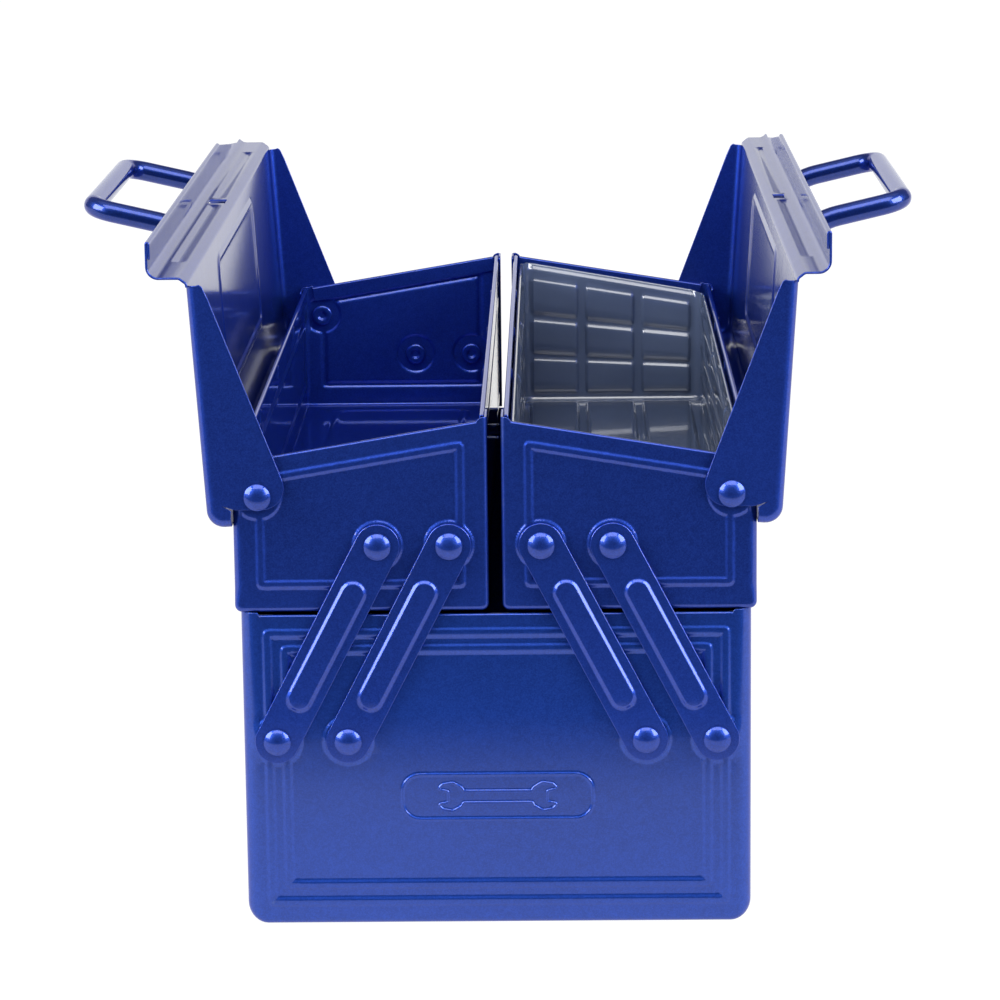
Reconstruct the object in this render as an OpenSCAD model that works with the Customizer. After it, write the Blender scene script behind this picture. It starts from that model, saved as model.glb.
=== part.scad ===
// Two-stage cantilever tool box in folded sheet steel.
// Origin: centre of the base, on the surface the box stands on.
// +Z is up, +Y runs along the box, the front end panel faces -Y.
// Drawn with the trays resting on the lower box and both roof halves open.

/* [Lower box] */
// Length of the box over its end panels
box_len = 350; // [320:5:400]
// Width of the lower box over its end panels
box_w = 160; // [160:0.5:162]
// Height of the lower box
box_h = 101.8; // [98:0.1:104]
// Outside radius of the bottom bends of the lower box
box_r = 6.5; // [4:0.5:8]

/* [Sheet] */
// Thickness of the steel sheet
sheet = 0.8; // [0.6:0.1:0.9]
// Depth of the hems folded along the long rims
hem_d = 5; // [4:0.5:8]
// Gap left between two sheets that lap
lap = 0.02; // [0.02:0.01:0.05]
// Depth of the end panels' flanges
flange = 14; // [10:1:20]
// Outside radius of the upright edges of the end panels
edge_r = 4.5; // [3:0.5:6]

/* [Trays] */
// Distance from the middle to the inner wall of a tray
tray_in = 2.15; // [2:0.05:3]
// Distance from the middle to the outer wall of a tray
tray_out = 81.6; // [81:0.1:83]
// Gap between a tray at rest and the rim under it
tray_rest = 0.3; // [0.25:0.05:0.5]
// Height of the outer wall of a tray
tray_low = 48.3; // [46:0.1:50]
// Height of the inner wall of a tray
tray_high = 61.3; // [60:0.1:62]
// Outside radius of the bottom bends of a tray
tray_r = 2.2; // [2:0.1:6]
// Outside radius of the rolled inner edge of a tray end panel
tray_edge_in = 1.5; // [1.2:0.1:4.5]
// Outside radius of the rolled outer edge of a tray end panel
tray_edge_out = 3; // [1.2:0.1:4.5]

/* [Arms] */
// Distance from the middle to the outer arm pivot on the lower box
pivot_x = 69.1; // [68:0.1:70]
// Height of the arm pivots on the lower box
pivot_z = 60.7; // [58:0.1:62]
// Distance between the two arm pivots of a tray
pivot_gap = 22.3; // [22:0.1:24]
// Length of an arm between its pivots
arm_len = 70.6; // [70:0.1:71]
// Angle of an arm at rest, above the horizontal
arm_rise = 62.6; // [61:0.1:64]
// Width of an arm
arm_w = 14; // [12:0.5:15]
// Thickness of an arm
arm_t = 1.5; // [1.2:0.1:1.8]
// Height of the raised rib on an arm
rib_h = 0.9; // [0.5:0.1:1]
// Width of the raised rib on an arm
rib_w = 6.4; // [5:0.2:7]

/* [Rivets] */
// Radius of a rivet shank
shank_r = 2.4; // [2:0.1:2.6]
// Running clearance round a rivet shank, on the radius
run_gap = 0.05; // [0.02:0.01:0.1]
// Radius of a rivet's domed head
head_r = 4.4; // [4:0.1:5]
// Height of a rivet's domed head
head_h = 1.9; // [1.5:0.1:2.2]
// Height of the round boss pressed round each pivot
boss_h = 0.6; // [0.5:0.1:0.8]
// Radius of the round boss pressed round each pivot
boss_r = 7.6; // [7:0.1:8]

/* [Roof halves] */
// Distance from the middle to a roof hinge
hinge_x = 73.6; // [73:0.1:74]
// Height of a roof hinge
hinge_z = 139.25; // [138:0.25:140]
// Outward lean of an open roof panel
lean = 3.6; // [3:0.1:4]
// Distance from the hinge to the outer face of the roof panel
panel_off = 16.3; // [16:0.1:16.6]
// Length of the roof panel from the hinge to the ridge crease
panel_len = 69.3; // [69:0.1:69.6]
// Drop of the skirt below the hinge on an open roof half
skirt_drop = 9.3; // [9.2:0.1:9.5]
// Width of the upright flange on the left roof half
ridge_left = 12; // [11.8:0.1:12.2]
// Width of the upright flange on the right roof half
ridge_right = 9.9; // [9.7:0.1:10]
// Width of the cap strip on the left roof half
cap_left = 11.9; // [11:0.1:12]
// Width of the cap strip on the right roof half
cap_right = 13.3; // [12:0.1:13.4]
// Length of the tapered relief at the rear of each cap strip
relief_len = 85; // [60:5:100]
// Length of a padlock slot
slot_len = 10; // [8:0.5:14]
// Width of a padlock slot
slot_w = 6; // [5:0.5:6.5]

/* [Handles] */
// Diameter of the handle rod
rod_d = 7; // [6:0.1:7]
// Distance between the two legs of a handle, centre to centre
leg_gap = 110; // [90:2:130]
// Radius of the bend that takes a leg clear of the ridge
leg_bend = 23.5; // [23.5:0.5:26]
// Rise of a leg above the horizontal, with the roof open
leg_rise = 13.1; // [12:0.1:14]
// Distance from the hinge out to the grip, with the roof open
grip_out = 62.9; // [61:0.1:64]
// Distance from the hinge up to the grip, with the roof open
grip_up = 74.65; // [74.6:0.05:75]

/* [Liner] */
// Wall thickness of the plastic liner
liner_t = 1; // [0.8:0.1:1.4]
// Gap between the liner's rim and the hems beside it
liner_gap = 0.4; // [0.3:0.1:1]

/* [Hidden] */

blue = [0.14, 0.22, 0.52];
deep_blue = [0.10, 0.16, 0.42];
clear = [0.75, 0.78, 0.85];

half = box_len / 2;
trough_half = half - 4;
tray_z = box_h + tray_rest;
tray_pivot_x = pivot_x - arm_len * cos(arm_rise);
tray_pivot_z = pivot_z + arm_len * sin(arm_rise);
side_gap = 0.1;
arm_face = half + boss_h + side_gap;      // inner face of arms and roof cheeks
cheek_face = arm_face + sheet;
rod_r = rod_d / 2;
ridge_z = panel_len * cos(lean) - panel_off * sin(lean) + 0.2;
crease_x = panel_off * cos(lean) + panel_len * sin(lean);

// Points along an arc from angle a to angle b.
function arc(cx, cz, r, a, b, n = 6) =
    [for (i = [0 : n]) let (t = a + (b - a) * i / n) [cx + r * cos(t), cz + r * sin(t)]];
function back(p) = [for (i = [len(p) - 1 : -1 : 0]) p[i]];
// Outline of a tub: left wall height za, right wall height zb, bottom bends r.
function tub(x0, x1, z0, za, zb, r) =
    concat([[x0, za]], arc(x0 + r, z0 + r, r, 180, 270), arc(x1 - r, z0 + r, r, 270, 360), [[x1, zb]]);

// Extrudes a shape drawn in X and Z along Y, from y0 to y1.
module along_y(y0, y1) {
    rotate([90, 0, 0]) translate([0, 0, -y1]) linear_extrude(height = y1 - y0) children();
}
// A cylinder along Y.
module rod_y(x, z, r, y0, y1) {
    translate([x, y0, z]) rotate([-90, 0, 0]) cylinder(h = y1 - y0, r = r, $fn = 48);
}
// Copies a shape to both ends of the box.
module both_ends() {
    children();
    mirror([0, 1, 0]) children();
}

// Folded trough: a bottom, two long walls and hems folded inwards on the rims.
module trough(x0, x1, z0, za, zb, r) {
    s = sheet;
    along_y(-trough_half, trough_half)
        polygon(concat(tub(x0, x1, z0, za, zb, r),
                       back(tub(x0 + s, x1 - s, z0 + s, za, zb, r - s))));
    along_y(-trough_half, trough_half) {
        translate([x0 + s - 0.01, za - hem_d]) square([s + 0.01, hem_d]);
        translate([x1 - 2 * s, zb - hem_d]) square([s + 0.01, hem_d]);
    }
}

// Pressed end panel at the -Y end, with side flanges outside the trough, a
// bottom flange on top of its floor, and a boss and a hole at each pivot. ea
// and eb are the radii of its two rolled side edges.
module end_panel(x0, x1, z0, za, zb, r, pivots, ea = edge_r, eb = edge_r) {
    s = sheet;
    top = max(za, zb);
    difference() {
        union() {
            intersection() {
                translate([0, 0, z0 + r]) linear_extrude(height = top - z0)
                    polygon(concat(
                        [[x0, -half + flange]],
                        arc(x0 + ea, -half + ea, ea, 180, 270),
                        arc(x1 - eb, -half + eb, eb, 270, 360),
                        [[x1, -half + flange], [x1 - s, -half + flange]],
                        arc(x1 - eb, -half + eb, eb - s, 360, 270),
                        arc(x0 + ea, -half + ea, ea - s, 270, 180),
                        [[x0 + s, -half + flange]]));
                along_y(-half - 1, -half + flange + 1)
                    polygon([[x0 - 1, z0], [x1 + 1, z0], [x1 + 1, zb], [x1, zb], [x0, za], [x0 - 1, za]]);
            }
            intersection() {
                along_y(-half, -half + s) polygon(tub(x0, x1, z0, za, zb, r));
                translate([x0, -half - 1, z0]) cube([x1 - x0, 3, r + 0.2]);
            }
            translate([x0 + r + 1, -half + s - 0.1, z0 + s + lap])
                cube([x1 - x0 - 2 * r - 2, flange - s, s]);
            for (p = pivots) rod_y(p[0], p[1], boss_r, -half - boss_h, -half + s / 2);
        }
        for (p = pivots) rod_y(p[0], p[1], shank_r + 0.02, -half - 2, -half + 3);
    }
}

// Raised frame pressed into an end panel, half a sheet proud.
module frame_bead(x0, x1, z0, za, zb, w) {
    along_y(-half - 0.5, -half + 0.2) difference() {
        polygon(tub(x0, x1, z0, za, zb, 2));
        polygon(tub(x0 + w, x1 - w, z0 + w, za - w, zb - w, 0.5));
    }
}

// Rivet along Y at the -Y end: inner head, shank and a domed outer head that
// sits over the outermost sheet at distance out from the middle.
module rivet(x, z, out) {
    base = out + side_gap;
    ball = (head_r * head_r + head_h * head_h) / (2 * head_h);
    rod_y(x, z, 4, -half + sheet + 0.02, -half + sheet + 1.2);
    rod_y(x, z, shank_r, -base - 0.2, -half + sheet + 0.4);
    translate([x, -base, z]) rotate([90, 0, 0]) rotate_extrude($fn = 48)
        intersection() {
            translate([0, head_h - ball]) circle(r = ball, $fn = 96);
            square([head_r, head_h + 1]);
        }
}

lower_pivots = [for (s = [-1, 1]) for (d = [0, pivot_gap]) [s * (pivot_x - d), pivot_z]];
function tray_pivots(s) = [[s * tray_pivot_x, tray_pivot_z], [s * (tray_pivot_x - pivot_gap), tray_pivot_z]];

module lower_trough() {
    color(blue) trough(-box_w / 2 + sheet + lap, box_w / 2 - sheet - lap, 0, box_h, box_h, box_r - sheet);
}

module lower_end() {
    w = box_w / 2;
    difference() {
        union() {
            end_panel(-w, w, 0, box_h, box_h, box_r, lower_pivots);
            frame_bead(-w + 6.5, w - 6.5, 6, box_h - 4.6, box_h - 4.6, 3.4);
            frame_bead(-w + 12, w - 12, 11.6, box_h - 9.8, box_h - 9.8, 3.4);
        }
        for (p = lower_pivots) rod_y(p[0], p[1], shank_r + 0.02, -half - 2, -half + 3);
    }
}
module lower_front_panel() { color(blue) lower_end(); }
module lower_rear_panel() { color(blue) mirror([0, 1, 0]) lower_end(); }

module lower_arm_rivets_front() {
    color(deep_blue) for (p = lower_pivots) rivet(p[0], p[1], arm_face + arm_t);
}
module lower_arm_rivets_rear() {
    color(deep_blue) mirror([0, 1, 0]) for (p = lower_pivots) rivet(p[0], p[1], arm_face + arm_t);
}

// A front arm on the left side, from its lower pivot at x to its tray pivot.
module arm(x) {
    translate([x, -arm_face, pivot_z]) rotate([0, 90 - arm_rise, 0]) difference() {
        union() {
            rotate([90, 0, 0]) linear_extrude(height = arm_t) {
                translate([-arm_w / 2, 0]) square([arm_w, arm_len]);
                circle(d = arm_w, $fn = 48);
                translate([0, arm_len]) circle(d = arm_w, $fn = 48);
            }
            translate([0, -arm_t + 0.1, 0]) rotate([90, 0, 0]) linear_extrude(height = rib_h + 0.1) {
                translate([-rib_w / 2, 15]) square([rib_w, arm_len - 30]);
                translate([0, 15]) circle(d = rib_w, $fn = 32);
                translate([0, arm_len - 15]) circle(d = rib_w, $fn = 32);
            }
        }
        rod_y(0, 0, shank_r + run_gap, -arm_t - 1, 1);
        rod_y(0, arm_len, shank_r + run_gap, -arm_t - 1, 1);
    }
}
module left_outer_arm_front() { color(deep_blue) arm(-pivot_x); }
module left_outer_arm_rear() { color(deep_blue) mirror([0, 1, 0]) arm(-pivot_x); }
module left_inner_arm_front() { color(deep_blue) arm(-pivot_x + pivot_gap); }
module left_inner_arm_rear() { color(deep_blue) mirror([0, 1, 0]) arm(-pivot_x + pivot_gap); }
module right_outer_arm_front() { color(deep_blue) mirror([1, 0, 0]) arm(-pivot_x); }
module right_outer_arm_rear() { color(deep_blue) mirror([1, 0, 0]) mirror([0, 1, 0]) arm(-pivot_x); }
module right_inner_arm_front() { color(deep_blue) mirror([1, 0, 0]) arm(-pivot_x + pivot_gap); }
module right_inner_arm_rear() { color(deep_blue) mirror([1, 0, 0]) mirror([0, 1, 0]) arm(-pivot_x + pivot_gap); }

// The trays are drawn on the right and mirrored to the left.
module tray_trough() {
    trough(tray_in + sheet + lap, tray_out - sheet - lap, tray_z,
           tray_z + tray_high, tray_z + tray_low, tray_r - sheet);
}
module tray_end() {
    pivots = concat(tray_pivots(1), [[hinge_x, hinge_z]]);
    difference() {
        union() {
            end_panel(tray_in, tray_out, tray_z, tray_z + tray_high, tray_z + tray_low, tray_r, pivots,
                      tray_edge_in, tray_edge_out);
            frame_bead(tray_in + 7, tray_out - 7, tray_z + 7.5, tray_z + tray_high - 6.6, tray_z + tray_low - 4.4, 3);
        }
        for (p = pivots) rod_y(p[0], p[1], shank_r + 0.02, -half - 2, -half + 3);
    }
}
module tray_rivets() {
    both_ends() for (p = tray_pivots(1)) rivet(p[0], p[1], arm_face + arm_t);
}
module hinge_rivets() {
    both_ends() rivet(hinge_x, hinge_z, cheek_face);
}
module right_tray_trough() { color(blue) tray_trough(); }
module right_tray_front_panel() { color(blue) tray_end(); }
module right_tray_rear_panel() { color(blue) mirror([0, 1, 0]) tray_end(); }
module right_tray_arm_rivets() { color(deep_blue) tray_rivets(); }
module right_hinge_rivets() { color(deep_blue) hinge_rivets(); }
module left_tray_trough() { color(blue) mirror([1, 0, 0]) tray_trough(); }
module left_tray_front_panel() { color(blue) mirror([1, 0, 0]) tray_end(); }
module left_tray_rear_panel() { color(blue) mirror([1, 0, 0]) mirror([0, 1, 0]) tray_end(); }
module left_tray_arm_rivets() { color(deep_blue) mirror([1, 0, 0]) tray_rivets(); }
module left_hinge_rivets() { color(deep_blue) mirror([1, 0, 0]) hinge_rivets(); }

// Open-topped liner that drops into the right tray, with a lip along its rim.
module parts_liner() {
    x0 = tray_in + 3 * sheet + lap + liner_gap + 0.8;
    x1 = tray_out - 3 * sheet - lap - liner_gap - 0.8;
    z0 = tray_z + 2 * sheet + 0.3;
    za = tray_z + tray_high - 3;
    zb = tray_z + tray_low - 3;
    end = half - 4;
    color(clear) difference() {
        union() {
            along_y(-end, end) polygon(tub(x0, x1, z0, za, zb, 4));
            along_y(-end - 1.2, end + 1.2)
                polygon([[x0 - 0.8, za - 1.2], [x1 + 0.8, zb - 1.2], [x1 + 0.8, zb], [x0 - 0.8, za]]);
        }
        along_y(-end + liner_t, end - liner_t)
            polygon(concat([[x0 + liner_t, za + 20]],
                           back(back(tub(x0 + liner_t, x1 - liner_t, z0 + liner_t, za, zb, 3))),
                           [[x1 - liner_t, zb + 40]]));
    }
}

// Roof half, drawn on the left about its hinge axis: panel, skirt, upright
// flange and cap strip as one folded profile, and a cheek at each end.
module lid_profile(ridge, cap) {
    s = sheet;
    xw = -crease_x - ridge;
    rotate([0, 0, lean])
        polygon(concat(
            [[-panel_off, panel_len + 0.8]],
            arc(-panel_off + 5.5, -skirt_drop + 5.5, 5.5, 180, 270),
            [[-8.9, -skirt_drop], [-8.9, -skirt_drop + s]],
            arc(-panel_off + 5.5, -skirt_drop + 5.5, 5.5 - s, 270, 180),
            [[-panel_off + s, panel_len + 0.8]]));
    polygon(concat(
        [[-crease_x + s, ridge_z]],
        arc(xw + 4, ridge_z + 4, 4, 270, 180),
        [[xw, ridge_z + cap], [xw + 2 * s, ridge_z + cap],
         [xw + 2 * s, ridge_z + cap - 5.4], [xw + s, ridge_z + cap - 5.4]],
        arc(xw + 4, ridge_z + 4, 4 - s, 180, 270),
        [[-crease_x + s, ridge_z + s]]));
}
module lid_cheek() {
    polygon([[-crease_x, ridge_z - 0.2], [-17.5, ridge_z - 0.4], [-15.6, ridge_z - 2.3],
             [-14, ridge_z - 5.8], [4.8, 13], [7.6, 2], [0, -4], [-4.6, -3.8],
             [-panel_off * cos(lean) + 4.6 * sin(lean) + 0.5, -3.8]]);
    circle(r = 7.8, $fn = 48);
}
module lid(ridge, cap) {
    translate([-hinge_x, 0, hinge_z]) difference() {
        union() {
            along_y(-cheek_face, cheek_face) lid_profile(ridge, cap);
            both_ends() along_y(-cheek_face, -cheek_face + sheet) lid_cheek();
        }
        rod_y(0, 0, shank_r + run_gap, -cheek_face - 1, cheek_face + 1);
        translate([-crease_x - 7.9, -slot_len / 2, ridge_z - 1])
            cube([slot_w, slot_len, 3]);
        // tapered relief at the rear of the cap strip
        translate([-crease_x - ridge - 1, 0, 0]) rotate([90, 0, 90]) linear_extrude(height = 4.9)
            polygon([[cheek_face - 12 - relief_len, ridge_z + cap + 1], [cheek_face - 12 - relief_len, ridge_z + cap],
                     [cheek_face - 12, ridge_z + 1.6], [cheek_face + 2, ridge_z + 1.6], [cheek_face + 2, ridge_z + cap + 1]]);
    }
}
module left_lid_shell() { color(blue) lid(ridge_left, cap_left); }
module right_lid_shell() { color(blue) mirror([1, 0, 0]) lid(ridge_right, cap_right); }

// Bent rod handle on the left roof half. Each foot lies along the roof panel,
// then bends outwards round the ridge flange and runs straight to the grip.
module handle() {
    turn = 90 - leg_rise - lean;
    a_off = panel_off + rod_r + 0.1 + leg_bend;
    reach = grip_up * cos(leg_rise) - grip_out * sin(leg_rise);
    u = (reach - leg_bend + a_off * sin(leg_rise + lean)) / cos(leg_rise + lean);
    ex = -a_off * cos(lean) - u * sin(lean) + leg_bend * sin(leg_rise);
    leg = round((grip_out + ex) / cos(leg_rise) * 100) / 100;
    translate([-hinge_x, 0, hinge_z]) union() {
        // flattened feet
        for (side = [-1, 1]) rotate([0, -lean, 0])
            translate([-panel_off - 5.62, side * leg_gap / 2 - 4.6, u - 15]) cube([5.6, 9.2, 16]);
        translate([-grip_out, 0, grip_up]) rotate([0, 180 + leg_rise, 0]) {
            rod_y(0, 0, rod_r, -leg_gap / 2 + 5, leg_gap / 2 - 5);
            for (side = [0, 1]) mirror([0, side, 0]) {
                translate([-5, leg_gap / 2 - 5, 0])
                    rotate_extrude(angle = 90, $fn = 64) translate([5, 0]) circle(r = rod_r, $fn = 48);
                translate([-leg, leg_gap / 2, 0]) rotate([0, 90, 0]) cylinder(h = leg - 5, r = rod_r, $fn = 48);
                translate([-leg, leg_gap / 2, leg_bend]) mirror([1, 0, 0]) rotate([90, 0, 0]) rotate([0, 0, -90])
                    rotate_extrude(angle = turn, $fn = 96) translate([leg_bend, 0]) circle(r = rod_r, $fn = 48);
            }
        }
    }
}
module left_handle() { color(blue) handle(); }
module right_handle() { color(blue) mirror([1, 0, 0]) handle(); }

lower_trough();
lower_front_panel();
lower_rear_panel();
lower_arm_rivets_front();
lower_arm_rivets_rear();
left_outer_arm_front();
left_outer_arm_rear();
left_inner_arm_front();
left_inner_arm_rear();
right_outer_arm_front();
right_outer_arm_rear();
right_inner_arm_front();
right_inner_arm_rear();
left_tray_trough();
left_tray_front_panel();
left_tray_rear_panel();
left_tray_arm_rivets();
left_hinge_rivets();
right_tray_trough();
right_tray_front_panel();
right_tray_rear_panel();
right_tray_arm_rivets();
right_hinge_rivets();
parts_liner();
left_lid_shell();
left_handle();
right_lid_shell();
right_handle();
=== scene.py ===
"""Two-stage cantilever tool box in blue sheet steel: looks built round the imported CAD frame."""

import math

import bmesh
import bpy
import numpy as np
from mathutils import Matrix, Vector
from mathutils.geometry import delaunay_2d_cdt


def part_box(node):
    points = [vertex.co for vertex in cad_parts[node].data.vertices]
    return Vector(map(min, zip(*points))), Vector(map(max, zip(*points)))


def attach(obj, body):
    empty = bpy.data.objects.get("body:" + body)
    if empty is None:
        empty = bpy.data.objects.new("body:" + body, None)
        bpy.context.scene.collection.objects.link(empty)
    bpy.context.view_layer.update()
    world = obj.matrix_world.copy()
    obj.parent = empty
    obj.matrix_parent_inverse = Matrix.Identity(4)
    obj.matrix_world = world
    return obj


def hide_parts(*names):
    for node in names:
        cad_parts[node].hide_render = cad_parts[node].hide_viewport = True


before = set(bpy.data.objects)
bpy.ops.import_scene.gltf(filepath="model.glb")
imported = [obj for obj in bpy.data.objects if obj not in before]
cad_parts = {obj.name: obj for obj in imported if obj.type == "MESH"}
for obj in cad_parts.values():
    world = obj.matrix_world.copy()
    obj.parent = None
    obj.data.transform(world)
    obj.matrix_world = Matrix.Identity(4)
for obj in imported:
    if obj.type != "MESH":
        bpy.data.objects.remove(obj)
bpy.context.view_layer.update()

# ---------------------------------------------------------------- dimensions, in mm


def node_box(name):
    lo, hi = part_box(name)
    return np.array(lo) * 1000.0, np.array(hi) * 1000.0


_lo, _hi = node_box("lower_front_panel")
BOX_W = _hi[0] - _lo[0]  # 160
BOX_H = _hi[2]  # 101.8
HALF = -_lo[1] - 0.6  # 175, face of the end panels (the bosses stand 0.6 proud)
_tl, _th = node_box("right_tray_front_panel")
TRAY_IN, TRAY_OUT, TRAY_Z, TRAY_TOP = _tl[0], _th[0], _tl[2], _th[2]
TRAY_LOW = TRAY_TOP - 13.0
SHEET = 0.8
HEM_R = 0.8
PIVOT_X, PIVOT_Z, PIVOT_GAP = 69.1, 60.7, 22.3
ARM_LEN, ARM_RISE, ARM_W, ARM_T = 70.6, math.radians(62.6), 14.0, 1.5
TP_X = PIVOT_X - ARM_LEN * math.cos(ARM_RISE)
TP_Z = PIVOT_Z + ARM_LEN * math.sin(ARM_RISE)
ARM_FACE = HALF + 0.7
CHEEK_FACE = ARM_FACE + SHEET
SHANK, HEAD_R, HEAD_H = 2.4, 4.4, 1.9
HX, HZ = 73.6, 139.25
LEAN = math.radians(3.6)
PANEL_OFF, PANEL_LEN, SKIRT_DROP = 16.3, 69.3, 9.3
RIDGE_Z = PANEL_LEN * math.cos(LEAN) - PANEL_OFF * math.sin(LEAN) + 0.2
CREASE_X = PANEL_OFF * math.cos(LEAN) + PANEL_LEN * math.sin(LEAN)

# ---------------------------------------------------------------- small geometry tools


def arc(cx, cy, r, a, b, n):
    t = np.radians(np.linspace(a, b, n + 1))
    return np.c_[cx + r * np.cos(t), cy + r * np.sin(t)]


def smooth01(t):
    t = np.clip(t, 0.0, 1.0)
    return t * t * (3 - 2 * t)


def axis(a, b, zones, coarse):
    """Sorted grid positions from a to b: coarse spacing, and finer inside each zone (low, high, spacing)."""
    marks = {round(a, 6), round(b, 6)}
    for lo, hi, step in zones:
        lo, hi = max(lo, a), min(hi, b)
        if hi <= lo:
            continue
        n = max(1, int(round((hi - lo) / step)))
        marks |= {round(v, 6) for v in np.linspace(lo, hi, n + 1)}
    pts = sorted(marks)
    out = [pts[0]]
    for p in pts[1:]:
        if p - out[-1] < 0.02:
            continue
        gap = p - out[-1]
        n = max(1, int(math.ceil(gap / coarse - 1e-6)))
        out += list(np.linspace(out[-1], p, n + 1)[1:])
    return np.array(out)


def round_line(points, r, step=1.5, n=5, closed=True):
    """A polyline with rounded corners, resampled so that no edge is longer than step."""
    P = [np.array(p, float) for p in points]
    rad = r if isinstance(r, (list, tuple)) else [r] * len(P)
    out = []
    m = len(P)
    for i in range(m):
        if (not closed and i in (0, m - 1)) or rad[i] <= 0:
            out.append(P[i])
            continue
        a, b, c = P[i - 1], P[i], P[(i + 1) % m]
        u = (a - b) / np.linalg.norm(a - b)
        v = (c - b) / np.linalg.norm(c - b)
        half = math.acos(max(-1, min(1, float(u @ v)))) / 2
        if half > math.pi / 2 - 1e-3:
            out.append(b)
            continue
        t = rad[i] / math.tan(half)
        mid = b + (u + v) / np.linalg.norm(u + v) * rad[i] / math.sin(half)
        s, e = b + u * t - mid, b + v * t - mid
        a0, a1 = math.atan2(s[1], s[0]), math.atan2(e[1], e[0])
        while a1 - a0 > math.pi:
            a1 -= 2 * math.pi
        while a1 - a0 < -math.pi:
            a1 += 2 * math.pi
        for k in range(n + 1):
            w = a0 + (a1 - a0) * k / n
            out.append(mid + rad[i] * np.array([math.cos(w), math.sin(w)]))
    res = []
    m = len(out)
    for i in range(m if closed else m - 1):
        a, b = out[i], out[(i + 1) % m]
        k = max(1, int(math.ceil(np.linalg.norm(b - a) / step - 1e-6)))
        for j in range(k):
            res.append(a + (b - a) * j / k)
    if not closed:
        res.append(out[-1])
    keep = [res[0]]
    for p in res[1:]:
        if np.linalg.norm(p - keep[-1]) > 1e-4:
            keep.append(p)
    if closed and np.linalg.norm(keep[0] - keep[-1]) < 1e-4:
        keep.pop()
    return np.array(keep)


def line_dist(p, line, closed):
    best = np.full(len(p), 1e9)
    m = len(line)
    for i in range(m if closed else m - 1):
        a, b = line[i], line[(i + 1) % m]
        ab = b - a
        L = float(ab @ ab)
        t = np.clip(((p - a) @ ab) / max(L, 1e-12), 0, 1)
        d = np.hypot(p[:, 0] - a[0] - t * ab[0], p[:, 1] - a[1] - t * ab[1])
        best = np.minimum(best, d)
    return best


class Bead:
    """A pressed bead along a line: half width w, flat top of half width flat, height h."""

    def __init__(self, line, w, h, closed=True, flat=0.0, gap=0.22, outer=0.35):
        self.line, self.w, self.h, self.closed, self.flat, self.gap = line, w, h, closed, flat, gap
        self.outer = outer

    def height(self, p):
        lo, hi = self.line.min(0) - self.w, self.line.max(0) + self.w
        near = np.all((p >= lo) & (p <= hi), axis=1)
        out = np.zeros(len(p))
        if near.any():
            d = line_dist(p[near], self.line, self.closed)
            t = np.clip((d - self.flat) / (self.w - self.flat), 0, 1)
            out[near] = self.h * 0.5 * (1 + np.cos(np.pi * t))
        return out

    def points(self):
        L = self.line
        if self.closed:
            tan = np.roll(L, -1, 0) - np.roll(L, 1, 0)
        else:
            tan = np.gradient(L, axis=0)
        tan /= np.linalg.norm(tan, axis=1)[:, None]
        nrm = np.c_[-tan[:, 1], tan[:, 0]]
        w, f = self.w, self.flat
        offs = [0.0] + [f + (w - f) * k / 6 for k in range(7)] + [w + self.outer]
        offs = sorted({round(o, 4) for o in offs})
        rows = []
        for o in offs:
            rows.append(L + nrm * o)
            if o > 0:
                rows.append(L - nrm * o)
        if not self.closed:
            for end, s in ((0, -1), (-1, 1)):
                t0 = tan[end] * s
                base = math.atan2(t0[1], t0[0])
                for o in offs[1:]:
                    k = max(4, int(o * 5))
                    w_ = base + np.linspace(-math.pi / 2, math.pi / 2, k + 1)
                    rows.append(L[end] + o * np.c_[np.cos(w_), np.sin(w_)])
        return np.vstack(rows)


class Boss:
    """A round boss: flat to radius r0, down to nothing at radius r1."""

    def __init__(self, c, r0, r1, h, gap=0.3):
        self.c, self.r0, self.r1, self.h, self.gap = np.array(c, float), r0, r1, h, gap

    def height(self, p):
        d = np.hypot(*(p - self.c).T)
        return self.h * (1 - smooth01((d - self.r0) / (self.r1 - self.r0)))

    def points(self):
        out = [self.c[None]]
        for r in [1.5, 3.0, 4.5, 6.0] + list(np.linspace(self.r0 - 0.3, self.r1 + 0.3, 8)):
            n = max(8, int(2 * math.pi * r / (0.9 if r > 6 else 1.6)))
            w = np.linspace(0, 2 * math.pi, n, endpoint=False)
            out.append(self.c + r * np.c_[np.cos(w), np.sin(w)])
        return np.vstack(out)


def inside(p, loop):
    x, y = p[:, 0], p[:, 1]
    res = np.zeros(len(p), bool)
    m = len(loop)
    for i in range(m):
        x0, y0 = loop[i]
        x1, y1 = loop[(i + 1) % m]
        if y0 == y1:
            continue
        hit = ((y0 > y) != (y1 > y)) & (x < (x1 - x0) * (y - y0) / (y1 - y0) + x0)
        res ^= hit
    return res


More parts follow.
